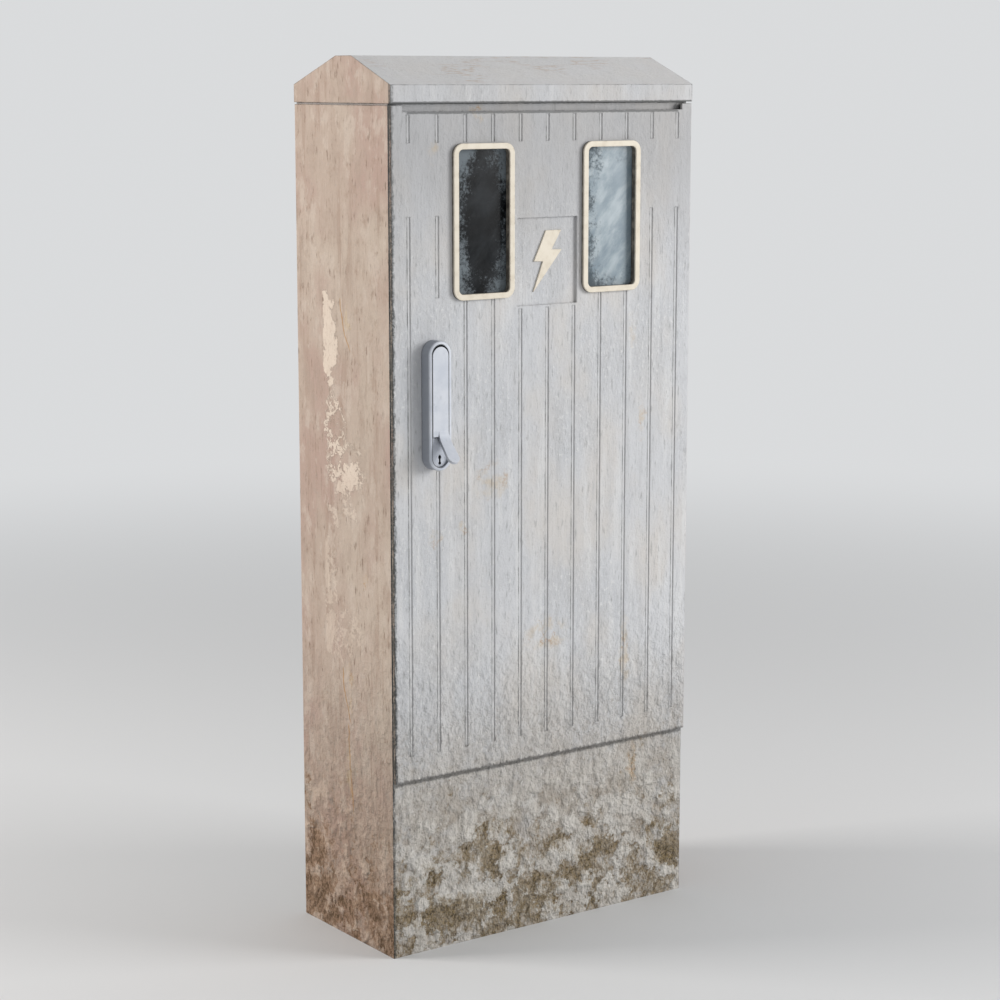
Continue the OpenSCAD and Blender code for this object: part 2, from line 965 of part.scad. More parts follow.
module handle_lever() {
    color(handle_grey)
        difference() {
            intersection() {
                along_x(handle_x - handle_w, handle_x + handle_w)
                    lever_side();
                along_y(handle_face_y - tongue_len, front_y)
                    lever_front();
            }
            translate([handle_x - handle_r, lever_pin_y, lever_pin_z])
                rotate([0, 90, 0])
                    cylinder(r = lever_pin_r + run_play, h = handle_w);
        }
}

// Lock

module lock_cylinder() {
    face_y = handle_face_y + handle_sill_depth;
    color(steel)
        difference() {
            union() {
                round_bar(handle_x, lock_z, cylinder_r, face_y, rod_y);
                round_bar(handle_x, lock_z, cylinder_tail_r, rod_y, case_back_y + cover_t);
            }
            for (s = [-1, 1])
                round_bar(
                    handle_x, lock_z + s * keyhole_pitch / 2, keyhole_r,
                    face_y - overrun, face_y + keyhole_depth
                );
            box(
                [handle_x - keyhole_r / 2, face_y - overrun, lock_z - keyhole_pitch / 2],
                [handle_x + keyhole_r / 2, face_y + keyhole_depth, lock_z + keyhole_pitch / 2]
            );
        }
}

// Angle that the involute of the base circle has turned through at radius r
function involute_deg(r) = let(a = acos(base_r / max(r, base_r))) tan(a) * 180 / PI - a;

// Half of a tooth's angle at radius r
function tooth_half_deg(r) =
    90 / pinion_teeth - tooth_backlash / pitch_r * 45 / PI + involute_deg(pitch_r) - involute_deg(r);

function polar(r, a) = r * [cos(a), sin(a)];

flank_radii = [root_r, for (s = [0 : tooth_steps]) base_r + (tip_r - base_r) * s / tooth_steps];

pinion_outline = [
    for (k = [0 : pinion_teeth - 1]) each [
        for (r = flank_radii) polar(r, k * 360 / pinion_teeth - tooth_half_deg(r)),
        for (s = [0 : tooth_steps + 1])
            let(r = flank_radii[tooth_steps + 1 - s])
                polar(r, k * 360 / pinion_teeth + tooth_half_deg(r))
    ]
];

module lock_pinion() {
    color(steel)
        difference() {
            along_y(rod_y, rod_back_y)
                translate([handle_x, lock_z])
                    polygon(pinion_outline);
            round_bar(handle_x, lock_z, cylinder_tail_r + run_play, rod_y - overrun, rod_back_y + overrun);
        }
}

module lock_case() {
    color(steel)
        difference() {
            box(
                [handle_x - case_half_w, door_back_y, lock_z - case_half_h],
                [handle_x + case_half_w, case_back_y, lock_z + case_half_h]
            );
            box(
                [handle_x - case_half_w + case_t, door_back_y + case_t, lock_z - case_half_h - overrun],
                [handle_x + case_half_w - case_t, case_back_y + overrun, lock_z + case_half_h + overrun]
            );
            round_bar(handle_x, lock_z, cylinder_r + run_play, door_back_y - overrun, case_back_y);
        }
}

module lock_cover() {
    color(steel)
        difference() {
            along_y(case_back_y, case_back_y + cover_t)
                translate([handle_x, lock_z])
                    rounded_rect(2 * case_half_w, 2 * case_half_h, case_t);
            round_bar(
                handle_x, lock_z, cylinder_tail_r + run_play,
                case_back_y - overrun, case_back_y + cover_t + overrun
            );
        }
}

// Flat rod with its rack, drawn with the pinion's axis at the origin and the rod on its left, going up
module rod_outline(length) {
    half = tooth_pitch / 4 - tooth_backlash / 2;
    slope = tan(pressure_angle);
    translate([-rod_edge - rod_w, -rack_end_gap])
        square([rod_w, length + rack_end_gap]);
    for (k = [rack_first : rack_last])
        translate([-pitch_r, (k + 0.5) * tooth_pitch])
            polygon([
                [-tooth_dedendum, -half - tooth_dedendum * slope],
                [tooth_addendum, -half + tooth_addendum * slope],
                [tooth_addendum, half - tooth_addendum * slope],
                [-tooth_dedendum, half + tooth_dedendum * slope]
            ]);
}

module upper_lock_rod() {
    color(steel)
        along_y(rod_y, rod_back_y)
            translate([handle_x, lock_z])
                rod_outline(upper_rod_len);
}

module lower_lock_rod() {
    color(steel)
        along_y(rod_y, rod_back_y)
            translate([handle_x, lock_z])
                rotate(180)
                    rod_outline(lower_rod_len);
}

module rod_guides() {
    color(dark_plastic)
        for (share = guide_shares) {
            rod_guide(-1, upper_rod_len * share);
            rod_guide(1, -lower_rod_len * share);
        }
}

module rod_guide(side, rise) {
    guide_x = handle_x + side * (rod_edge + rod_w / 2);
    guide_half_w = rod_w / 2 + guide_t;
    difference() {
        box(
            [guide_x - guide_half_w, door_back_y, lock_z + rise - guide_h / 2],
            [guide_x + guide_half_w, rod_back_y + guide_t, lock_z + rise + guide_h / 2]
        );
        box(
            [guide_x - rod_w / 2 - rod_play, rod_y - rod_play, lock_z + rise - guide_h],
            [guide_x + rod_w / 2 + rod_play, rod_back_y + rod_play, lock_z + rise + guide_h]
        );
    }
}

// Mounting plate and busbars

module at_spacers() {
    span = plate_top_z - plate_bottom_z - 2 * spacer_inset;
    for (sx = [-1, 1], row = [0 : spacer_rows - 1])
        translate([
            sx * (plate_half_w - spacer_inset),
            0,
            plate_bottom_z + spacer_inset + span * row / (spacer_rows - 1)
        ])
            children();
}

module mounting_plate() {
    color(steel)
        difference() {
            box([-plate_half_w, plate_y, plate_bottom_z], [plate_half_w, plate_y + plate_t, plate_top_z]);
            at_spacers()
                round_bar(0, 0, plate_bolt_r + run_play, plate_y - overrun, plate_y + plate_t + overrun);
        }
}

module plate_spacers() {
    color(moulding)
        at_spacers()
            difference() {
                round_bar(0, 0, spacer_r, plate_y + plate_t, rear_inner_y);
                round_bar(0, 0, plate_bolt_r + run_play, plate_y, rear_inner_y + overrun);
            }
}

module plate_bolts() {
    color(steel)
        at_spacers() {
            round_bar(0, 0, plate_bolt_r, plate_y, rear_inner_y - wall_t);
            translate([0, plate_y, 0])
                rotate([90, 0, 0])
                    cylinder(r = plate_bolt_head_r, h = plate_bolt_head_h, $fn = 6);
        }
}

module busbar_supports() {
    reach = busbar_pitch + busbar_h / 2 + support_over;
    color(dark_plastic)
        for (sx = [-1, 1])
            box(
                [sx * support_x - support_w / 2, busbar_y, busbar_mid_z - reach],
                [sx * support_x + support_w / 2, plate_y, busbar_mid_z + reach]
            );
}

module neutral_supports() {
    color(dark_plastic)
        for (sx = [-1, 1])
            box(
                [sx * support_x - support_w / 2, busbar_y, neutral_z - busbar_h / 2],
                [sx * support_x + support_w / 2, plate_y, neutral_z + busbar_h / 2]
            );
}

module busbar(z) {
    hole_span = 2 * (busbar_half_l - bar_hole_margin);
    hole_steps = 2 * strip_count;
    color(copper)
        difference() {
            box(
                [-busbar_half_l, busbar_front_y, z - busbar_h / 2],
                [busbar_half_l, busbar_y, z + busbar_h / 2]
            );
            for (k = [0 : hole_steps])
                round_bar(
                    hole_span * (k / hole_steps) - hole_span / 2, z, bar_hole_r,
                    busbar_front_y - overrun, busbar_y + overrun
                );
        }
}

module busbar_l1() busbar(busbar_mid_z + busbar_pitch);
module busbar_l2() busbar(busbar_mid_z);
module busbar_l3() busbar(busbar_mid_z - busbar_pitch);
module neutral_bar() busbar(neutral_z);

// Fuse strips

function strip_x(n) = (n - (strip_count + 1) / 2) * strip_pitch;

module at_poles(n) {
    for (row = [-1 : 1])
        translate([strip_x(n), 0, busbar_mid_z + row * busbar_pitch])
            children();
}

module fuse_base(n) {
    well_half_w = strip_w / 2 - strip_wall;
    well_half_h = busbar_pitch / 2 - strip_wall;
    color(dark_plastic)
        difference() {
            box(
                [strip_x(n) - strip_w / 2, strip_front_y, strip_bottom_z],
                [strip_x(n) + strip_w / 2, busbar_front_y, strip_top_z]
            );
            at_poles(n)
                box(
                    [-well_half_w, strip_front_y - overrun, -well_half_h],
                    [well_half_w, busbar_front_y - strip_wall, well_half_h]
                );
        }
}

module fuse_base_1() fuse_base(1);
module fuse_base_2() fuse_base(2);
module fuse_base_3() fuse_base(3);
module fuse_base_4() fuse_base(4);

module fuse_lid(n) {
    color(moulding)
        translate([strip_x(n), 0, busbar_mid_z]) {
            difference() {
                along_y(lid_front_y, strip_front_y)
                    rounded_rect(strip_w, strip_h, lid_edge_r);
                along_y(lid_front_y + strip_wall, strip_front_y + overrun)
                    square([strip_w - 2 * strip_wall, strip_h - 2 * strip_wall], center = true);
                for (row = [-1 : 1])
                    along_y(lid_front_y - overrun, lid_front_y + strip_wall + overrun)
                        translate([0, row * busbar_pitch])
                            square([lid_slot_w, lid_slot_h], center = true);
            }
            translate([0, 0, strip_h / 2 - 2 * grip_h])
                lid_grip();
        }
}

// Pull bar at the top of a lid
module lid_grip() {
    along_y(lid_front_y - grip_d, lid_front_y)
        rounded_rect(grip_w, grip_h, grip_h / 3);
}

module fuse_lid_1() fuse_lid(1);
module fuse_lid_2() fuse_lid(2);
module fuse_lid_3() fuse_lid(3);
module fuse_lid_4() fuse_lid(4);

// Spring jaws that hold the blades of the fuse links
module contact_jaws() {
    floor_y = busbar_front_y - strip_wall;
    jaw_z = fuse_h / 2 + fuse_blade_h / 2;
    prong_x = fuse_blade_t / 2 + run_play;
    color(copper)
        for (n = [1 : strip_count])
            at_poles(n)
                for (s = [-1, 1])
                    translate([0, 0, s * jaw_z]) {
                        box(
                            [-prong_x - jaw_t, floor_y - jaw_foot_t, -jaw_h / 2],
                            [prong_x + jaw_t, floor_y, jaw_h / 2]
                        );
                        for (side = [-1, 1])
                            translate([side * (prong_x + jaw_t / 2), 0, 0])
                                box(
                                    [-jaw_t / 2, floor_y - jaw_foot_t - jaw_d, -jaw_h / 2],
                                    [jaw_t / 2, floor_y - jaw_foot_t, jaw_h / 2]
                                );
                    }
}

module fuse_links() {
    blade_back_y = busbar_front_y - strip_wall - jaw_foot_t;
    body_mid_y = blade_back_y - fuse_blade_w / 2;
    color(ceramic)
        for (n = [1 : strip_count])
            at_poles(n) {
                translate([0, body_mid_y, -fuse_h / 2])
                    linear_extrude(fuse_h)
                        rounded_rect(fuse_w, fuse_d - 2 * jaw_foot_t, lid_edge_r);
                box(
                    [-fuse_blade_t / 2, blade_back_y - fuse_blade_w, -fuse_h / 2 - fuse_blade_h],
                    [fuse_blade_t / 2, blade_back_y, fuse_h / 2 + fuse_blade_h]
                );
            }
}

// Meters

module meter_base(side) {
    color(dark_plastic)
        along_y(meter_base_y, plate_y)
            translate([side * meter_x, meter_top_z - meter_h / 2])
                rounded_rect(meter_w, meter_h, meter_r);
}

module meter_cover(side) {
    cover_z = meter_top_z - meter_inset - meter_cover_h / 2;
    front = meter_base_y - meter_cover_d;
    color(moulding)
        difference() {
            along_y(front, meter_base_y)
                translate([side * meter_x, cover_z])
                    rounded_rect(meter_w - 2 * meter_inset, meter_cover_h, meter_r);
            along_y(front - overrun, front + meter_dial_depth)
                translate([side * meter_x, cover_z + meter_cover_h / 2 - meter_dial_h])
                    rounded_rect(meter_dial_w, meter_dial_h, meter_inset);
        }
}

module terminal_cover(side) {
    height = meter_h - meter_cover_h - 2 * meter_inset - terminal_gap;
    mid_z = meter_bottom_z + meter_inset + height / 2;
    front = meter_base_y - terminal_d;
    color(moulding) {
        along_y(front, meter_base_y)
            translate([side * meter_x, mid_z])
                rounded_rect(meter_w - 2 * meter_inset, height, meter_r);
        for (s = [-1, 1])
            round_bar(
                side * meter_x + s * (meter_w / 2 - 2 * meter_r), mid_z, terminal_screw_r,
                front - terminal_screw_h, front
            );
    }
}

module left_meter_base() meter_base(-1);
module right_meter_base() meter_base(1);
module left_meter_cover() meter_cover(-1);
module right_meter_cover() meter_cover(1);
module left_terminal_cover() terminal_cover(-1);
module right_terminal_cover() terminal_cover(1);

// Cable clamps

module clamp_rail() {
    color(steel)
        along_x(-inner_half_w, inner_half_w)
            translate([rail_y, rail_z])
                difference() {
                    square([rail_d, rail_h]);
                    translate([rail_t, rail_t])
                        square([rail_d, rail_h - 2 * rail_t]);
                }
}

module cable_clamps() {
    color(dark_plastic)
        for (n = [1 : strip_count])
            translate([strip_x(n), rail_y, rail_z + rail_h / 2 - clamp_h / 2])
                difference() {
                    translate([-clamp_w / 2, -clamp_d, 0])
                        cube([clamp_w, clamp_d, clamp_h]);
                    translate([0, 0, -overrun])
                        cylinder(r = clamp_r, h = clamp_h + 2 * overrun);
                }
}

left_wall();
right_wall();
rear_wall();
roof();
base_frame();
plinth_panel();
sill();
top_frame();
roof_bolts();
body_gasket();
hinge_brackets();
hinge_pins();
hinge_arms();
door_panel();
left_window_frame();
right_window_frame();
left_window_seal();
right_window_seal();
left_window_pane();
right_window_pane();
left_pane_retainer();
right_pane_retainer();
handle_housing();
lever_pin();
handle_lever();
lock_cylinder();
lock_pinion();
lock_case();
lock_cover();
rod_guides();
upper_lock_rod();
lower_lock_rod();
mounting_plate();
plate_spacers();
plate_bolts();
busbar_supports();
busbar_l1();
busbar_l2();
busbar_l3();
neutral_supports();
neutral_bar();
contact_jaws();
fuse_links();
fuse_base_1();
fuse_base_2();
fuse_base_3();
fuse_base_4();
fuse_lid_1();
fuse_lid_2();
fuse_lid_3();
fuse_lid_4();
left_meter_base();
left_meter_cover();
left_terminal_cover();
right_meter_base();
right_meter_cover();
right_terminal_cover();
clamp_rail();
cable_clamps();
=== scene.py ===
"""Dress the roadside fuse cabinet: finishes, bent lever, flash sign, counters, screws, stage and camera."""

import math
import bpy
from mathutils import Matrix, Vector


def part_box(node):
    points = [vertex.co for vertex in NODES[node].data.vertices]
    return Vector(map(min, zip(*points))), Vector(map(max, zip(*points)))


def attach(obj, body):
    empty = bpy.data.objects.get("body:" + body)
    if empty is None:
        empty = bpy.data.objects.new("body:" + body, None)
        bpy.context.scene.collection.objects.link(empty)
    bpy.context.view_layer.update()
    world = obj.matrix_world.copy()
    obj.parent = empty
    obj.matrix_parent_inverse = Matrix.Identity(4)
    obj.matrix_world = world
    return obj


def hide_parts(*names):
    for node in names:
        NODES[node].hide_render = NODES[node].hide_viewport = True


bl_info = {
    "name": "Weathered Fuse Cabinet",
    "version": (1, 0, 0),
    "blender": (4, 5, 0),
    "location": "View3D > Sidebar > Cabinet",
    "description": "Finishes and small fittings of a weathered roadside fuse cabinet",
    "category": "Object",
}

import bmesh
import bpy
from bpy.props import FloatProperty, FloatVectorProperty, IntProperty, PointerProperty
from mathutils import Vector

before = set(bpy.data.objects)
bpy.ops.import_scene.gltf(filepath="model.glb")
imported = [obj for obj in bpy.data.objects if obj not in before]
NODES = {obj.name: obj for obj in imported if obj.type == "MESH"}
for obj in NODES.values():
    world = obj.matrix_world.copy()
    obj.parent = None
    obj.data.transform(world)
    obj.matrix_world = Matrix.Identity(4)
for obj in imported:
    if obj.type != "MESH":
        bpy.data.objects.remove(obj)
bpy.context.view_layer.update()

# Which finish each piece of the cabinet wears
SHELL_NODES = [
    "left_wall", "right_wall", "rear_wall", "roof", "plinth_panel", "sill", "top_frame", "door_panel",
]
FRAME_NODES = ["left_window_frame", "right_window_frame"]
HANDLE_NODES = ["handle_housing", "handle_lever", "lock_cylinder"]
RUBBER_NODES = ["body_gasket", "left_window_seal", "right_window_seal"]
STEEL_NODES = [
    "base_frame", "roof_bolts", "hinge_brackets", "hinge_pins", "hinge_arms", "lever_pin", "lock_pinion",
    "lock_case", "lock_cover", "upper_lock_rod", "lower_lock_rod", "mounting_plate", "plate_bolts",
    "clamp_rail",
]
COPPER_NODES = ["busbar_l1", "busbar_l2", "busbar_l3", "neutral_bar", "contact_jaws"]
PALE_NODES = [
    "left_pane_retainer", "right_pane_retainer", "plate_spacers", "left_meter_cover", "right_meter_cover",
    "left_terminal_cover", "right_terminal_cover", *[f"fuse_lid_{n}" for n in range(1, 5)],
]
DARK_NODES = [
    "rod_guides", "busbar_supports", "neutral_supports", "cable_clamps",
    "left_meter_base", "right_meter_base", *[f"fuse_base_{n}" for n in range(1, 5)],
]

# Faces and levels of the cabinet that its dirt follows
OUTER_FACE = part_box("right_wall")[1].x
DOOR_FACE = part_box("door_panel")[0].y
BACK_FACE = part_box("rear_wall")[1].y
FRAME_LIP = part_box("left_window_frame")[0].y
DOOR_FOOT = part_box("door_panel")[0].z
EAVE_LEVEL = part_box("roof")[0].z

# Stains and patches on the front and on the left side: place of the middle and half sizes, across and up
FRONT_RUST = [
    ((-0.127, 1.333), (0.016, 0.012)), ((-0.218, 1.274), (0.010, 0.022)), ((-0.110, 0.756), (0.030, 0.026)),
    ((-0.218, 0.675), (0.010, 0.016)), ((-0.162, 0.686), (0.008, 0.010)), ((0.195, 0.826), (0.008, 0.030)),
    ((0.176, 0.985), (0.010, 0.026)), ((0.164, 0.441), (0.010, 0.060)), ((0.188, 0.238), (0.008, 0.036)),
    ((0.002, 0.493), (0.046, 0.026)),
]
LEFT_RUST = [
    ((-0.010, 1.015), (0.007, 0.045)), ((-0.012, 0.420), (0.006, 0.046)), ((-0.004, 0.272), (0.007, 0.060)),
    ((-0.060, 0.600), (0.006, 0.020)),
]
LEFT_PEEL = [
    ((0.044, 0.975), (0.024, 0.078)), ((0.052, 1.040), (0.010, 0.020)), ((-0.018, 0.764), (0.026, 0.024)),
    ((0.056, 0.610), (0.010, 0.060)), ((0.050, 0.500), (0.014, 0.040)), ((0.010, 0.745), (0.014, 0.010)),
]
LEFT_CURLS = [
    ((0.030, 0.840), (0.034, 0.060)), ((0.000, 0.772), (0.060, 0.052)), ((0.010, 0.700), (0.050, 0.030)),
    ((0.044, 0.560), (0.022, 0.090)), ((0.000, 0.500), (0.050, 0.050)),
]
PLINTH_MOSS = [
    ((-0.105, 0.165), (0.055, 0.065)), ((-0.020, 0.060), (0.070, 0.036)), ((0.036, 0.138), (0.034, 0.020)),
    ((0.098, 0.150), (0.022, 0.016)), ((0.268, 0.080), (0.026, 0.052)), ((-0.190, 0.060), (0.080, 0.034)),
    ((-0.225, 0.130), (0.050, 0.030)), ((0.060, 0.075), (0.060, 0.022)), ((0.100, 0.110), (0.060, 0.022)),
]
LEFT_MOSS = [
    ((0.110, 0.120), (0.040, 0.050)), ((0.090, 0.045), (0.060, 0.040)), ((-0.090, 0.050), (0.050, 0.050)),
    ((0.125, 0.215), (0.018, 0.040)), ((-0.020, 0.070), (0.040, 0.030)),
]

# Half size of a spot along the axis that its face looks along, so large that depth makes no difference
ANY_DEPTH = 9.0

# Thin cracks of the left side, from the upper end to the lower end, and how far they wander
LEFT_CRACKS = [
    ((0.0086, 1.048), (-0.0220, 0.960)), ((0.0120, 0.452), (-0.0140, 0.357)),
    ((-0.0040, 0.365), (-0.0180, 0.204)),
]
CRACK_WANDER = 0.012

# Lines of painted shade under the eave: lowest and highest level from the eave, reach to each side, and how
# dark
EAVE_SHADE_LINES = [(-0.0155, -0.0130, 0.268, 0.60), (-0.0010, 0.0020, 0.296, 0.72)]

# How far torn outlines of stains and ragged lines of dirt and painted shade stray, and where the old paint
# ends at the rear
TEAR_WIDTH = 0.05
RAGGED_DIRT_AND_SHADE = 0.012
PEEL_END = 0.0605

# Noise of the shell by name: scales along x, y and z, detail and roughness
SHELL_NOISE = {
    "cloud": ((6.0, 6.0, 6.0), 4.0, 0.55),
    "tint": ((9.0, 9.0, 5.0), 4.0, 0.55),
    "mottle": ((40.0, 40.0, 40.0), 7.0, 0.66),
    "blotch": ((30.0, 30.0, 15.0), 7.0, 0.68),
    "grain": ((300.0, 300.0, 300.0), 4.0, 0.60),
    "fibre": ((230.0, 230.0, 42.0), 5.0, 0.62),
    "streak": ((62.0, 62.0, 5.0), 6.0, 0.62),
    "rock": ((62.0, 62.0, 54.0), 6.0, 0.60),
    "lump": ((34.0, 34.0, 34.0), 4.0, 0.55),
    "flake": ((170.0, 170.0, 120.0), 5.0, 0.70),
}

# Tints of the shell: noise, the range over which the tint comes in, its full share, and its colour
SIDE_TINTS = [
    ("tint", 0.40, 0.62, 1.0, (0.455, 0.330, 0.275)),
    ("cloud", 0.46, 0.64, 0.60, (0.560, 0.475, 0.390)),
    ("streak", 0.52, 0.66, 0.60, (0.380, 0.275, 0.215)),
    ("blotch", 0.52, 0.62, 0.45, (0.400, 0.310, 0.250)),
    ("blotch", 0.47, 0.38, 0.55, (0.590, 0.500, 0.425)),
    ("mottle", 0.54, 0.70, 0.45, (0.370, 0.270, 0.210)),
]
FRONT_TINTS = [
    ("tint", 0.40, 0.64, 1.0, (0.640, 0.620, 0.600)),
    ("cloud", 0.44, 0.62, 0.60, (0.560, 0.575, 0.600)),
    ("streak", 0.50, 0.68, 0.50, (0.740, 0.745, 0.750)),
    ("streak", 0.46, 0.32, 0.40, (0.500, 0.505, 0.515)),
    ("fibre", 0.56, 0.72, 0.55, (0.260, 0.265, 0.265)),
]

# Tints near the ground: noise, its range, upper and lower level with the share at each, and the colour
# Painted highlights on the crests of the rough surface near the ground.
CREST_HIGHLIGHTS = [("flake", 0.55, 0.70, (0.52, 0.22, 0.05, 0.60), (0.800, 0.775, 0.730))]
# Painted shade in the cavities and hollows of the rough surface near the ground.
CAVITY_SHADE = [("flake", 0.46, 0.32, (0.52, 0.22, 0.06, 0.55), (0.290, 0.255, 0.215))]
HOLLOW_SHADE = [
    ("lump", 0.46, 0.34, (0.34, 0.14, 0.0, 0.40), (0.300, 0.230, 0.165)),
    ("rock", 0.46, 0.32, (0.52, 0.22, 0.0, 0.40), (0.330, 0.290, 0.245)),
]

# Height of the fine relief by its noise, and of the old paint
FINE_RELIEF = [("grain", 0.10), ("fibre", 0.10), ("mottle", 0.18)]
PEEL_RELIEF = 0.10

# Rounding of the edges in the light, on the shell, the cream mouldings and the handle
SHELL_EDGE = 0.0026
CREAM_EDGE = 0.0020
HANDLE_EDGE = 0.0015

# Slant and size of the smears on the panes
SMEAR_SLANT = 0.7
SMEAR_SIZE = (0.036, 0.036, 0.080)

# Distance between the door's grooves
GROOVE_PITCH = 0.0528

# Width of a window frame's bar and of a pane's retainer, and the levels of its screws as shares of its height
WINDOW_BAR = 0.009
RETAINER_BAR = 0.013
RETAINER_SCREWS = [0.16, 0.5, 0.84]

# Width of the rim round the handle's pocket, and of the painted shade along its left
HANDLE_RIM = 0.00575
POCKET_SHADE_WIDTH = 0.0014

# Radius of the keyhole's eye and how far the eye stands over the middle of the lock
KEYHOLE_RADIUS = 0.0030
KEYHOLE_EYE = 0.0038

# Corners of the lever nearer than this are one; rows of the tongue's straight and round parts; half its tip
MERGE_DISTANCE = 0.000002
STRAIGHT_ROWS = 12
ROUND_ROWS = 8
TIP_HALF = 0.0003

# Room round a meter's counter in its dial, how far its plate stands up, and the rounding of its edges
DIAL_MARGIN = 0.0025
PLATE_RELIEF = 0.0012
BLOCK_ROUNDING = 0.0006

# Half width of a drum in the drums' pitch, and half height in the plate's
DRUM_SHARES = (0.38, 0.45)

# Holes of the neutral bar, how far the end ones lie from its ends, and a clamp's screws in its half width
BAR_HOLES = 9
BAR_HOLE_MARGIN = 0.030
CLAMP_SCREW_SHARE = 0.76

# Size of each group's screws against the screws of the door, and top and slot of a head against its radius
BAR_SCREW_SIZE = 2.0
CLAMP_SCREW_SIZE = 1.5
HEAD_TOP = 0.78
SLOT_REACH = 2.4

# The lightning flash, in shares of half the width and half the height of its square recess
FLASH_SHARES = [
    (-0.02, 0.70), (0.49, 0.70), (0.17, 0.26), (0.51, 0.25), (-0.44, -0.70), (-0.12, -0.01), (-0.42, 0.0),
]

# Point that the lamps look at, size of the floor, and where it begins and ends to fade into the background
LAMP_TARGET = (0.0, 0.0, 0.70)
FLOOR_RADIUS = 60.0
FLOOR_FADE = (1.2, 5.0)


class CabinetFinish(bpy.types.PropertyGroup):
    """Colours and sizes of the cabinet's finishes and fittings."""

    shell_color: FloatVectorProperty(
        name="Shell", description="Weathered grey of the mouldings", subtype="COLOR", size=3,
        default=(0.625, 0.635, 0.655), min=0, max=1,
    )
    # The sides' tan is partly their own stain and partly painted warm light from the left.
    side_tan_and_warm_light: FloatVectorProperty(
        name="Sides", description="Tan of the sun-bleached sides", subtype="COLOR", size=3,
        default=(0.490, 0.390, 0.320), min=0, max=1,
    )
    cream_color: FloatVectorProperty(
        name="Cream", description="Window frames and flash sign", subtype="COLOR", size=3,
        default=(0.800, 0.730, 0.610), min=0, max=1,
    )
    peel_color: FloatVectorProperty(
        name="Old paint", description="Old paint that still clings to the left side", subtype="COLOR", size=3,
        default=(0.740, 0.630, 0.525), min=0, max=1,
    )
    rust_color: FloatVectorProperty(
        name="Rust", description="Rust-brown cracks and scratches", subtype="COLOR", size=3,
        default=(0.430, 0.240, 0.095), min=0, max=1,
    )
    moss_color: FloatVectorProperty(
        name="Moss", description="Darkest growth near the ground", subtype="COLOR", size=3,
        default=(0.085, 0.063, 0.038), min=0, max=1,
    )
    # Grime also paints the shade in the seams, the grooves and under the eave.
    grime_and_shade_color: FloatVectorProperty(
        name="Grime", description="Dark dirt in grooves and along edges", subtype="COLOR", size=3,
        default=(0.055, 0.060, 0.058), min=0, max=1,
    )
    handle_color: FloatVectorProperty(
        name="Handle", description="Blue-grey coat of the handle", subtype="COLOR", size=3,
        default=(0.575, 0.612, 0.685), min=0, max=1,
    )
    lever_bar: FloatProperty(
        name="Lever bar", description="Length of the lever above its tongue", default=0.1312, unit="LENGTH")
    lever_foot: FloatProperty(
        name="Lever foot", description="How far the lever runs on beside the tongue", default=0.0085,
        unit="LENGTH")
    tongue_width: FloatProperty(
        name="Tongue width", description="Width of the tongue at its root", default=0.0180, unit="LENGTH")
    tongue_flare: FloatProperty(
        name="Tongue flare", description="How much each side of the tongue widens", default=0.0015,
        unit="LENGTH")
    tongue_length: FloatProperty(
        name="Tongue length", description="Length of the tongue", default=0.0570, unit="LENGTH")
    tongue_thickness: FloatProperty(
        name="Tongue thickness", description="Thickness of the tongue", default=0.0045, unit="LENGTH")
    tongue_bend: FloatProperty(
        name="Tongue bend", description="Angle of the tongue", default=math.radians(42), unit="ROTATION")
    bend_length: FloatProperty(
        name="Bend length", description="Length over which the tongue bends", default=0.016, unit="LENGTH")
    sign_width: FloatProperty(
        name="Sign width", description="Width of the square recess", default=0.118, unit="LENGTH")
    sign_height: FloatProperty(
        name="Sign height", description="Height of the recess", default=0.138, unit="LENGTH")
    sign_level: FloatProperty(
        name="Sign level", description="Height of the recess's middle", default=1.100, unit="LENGTH")
    sign_depth: FloatProperty(
        name="Sign depth", description="Depth of the recess", default=0.0045, unit="LENGTH")
    flash_relief: FloatProperty(
        name="Flash relief", description="Thickness of the flash", default=0.0022, unit="LENGTH")
    dial_width: FloatProperty(
        name="Dial width", description="Width of a meter's dial", default=0.096, unit="LENGTH")
    dial_height: FloatProperty(
        name="Dial height", description="Height of a meter's dial", default=0.054, unit="LENGTH")
    dial_depth: FloatProperty(
        name="Dial depth", description="Depth of a meter's dial", default=0.005, unit="LENGTH")
    drum_count: IntProperty(
        name="Drums", description="Number of drums in a meter's counter", default=6, min=1)
    screw_radius: FloatProperty(
        name="Screw radius", description="Radius of a screw's head", default=0.0036, unit="LENGTH")
    screw_height: FloatProperty(
        name="Screw height", description="Height of a screw's head", default=0.0020, unit="LENGTH")
    screw_slot: FloatProperty(
        name="Screw slot", description="Width of a screw's slot", default=0.0010, unit="LENGTH")
    screw_sides: IntProperty(
        name="Screw sides", description="Facets round a screw's head", default=20, min=8)


class StudioSettings(bpy.types.PropertyGroup):
    """Lamps, floor and camera."""

    floor_color: FloatVectorProperty(
        name="Floor", description="Pale floor and background", subtype="COLOR", size=3,
        default=(0.70, 0.71, 0.72), min=0, max=1,
    )
    world_light: FloatProperty(
        name="Room light", description="Strength of the even light of the room", default=0.38)
    key_power: FloatProperty(
        name="Key", description="Power of the lamp in front", default=158.0, unit="POWER")
    fill_power: FloatProperty(
        name="Fill", description="Power of the lamp on the left", default=100.0, unit="POWER")
    roof_power: FloatProperty(
        name="Roof", description="Power of the lamp over the roof", default=5.0, unit="POWER")
    lens: FloatProperty(
        name="Lens", description="Focal length on a 36 mm film", default=87.2)
    camera_place: FloatVectorProperty(
        name="Camera", description="Place of the camera", subtype="TRANSLATION", size=3, unit="LENGTH",
        default=(-2.307, -3.224, 1.385),
    )
    camera_pitch: FloatProperty(
        name="Pitch", description="How far the camera looks down", default=math.radians(9.87),
        unit="ROTATION")
    camera_yaw: FloatProperty(
        name="Yaw", description="How far the camera looks to the right", default=math.radians(35.68),
        unit="ROTATION")


# Helpers for node trees

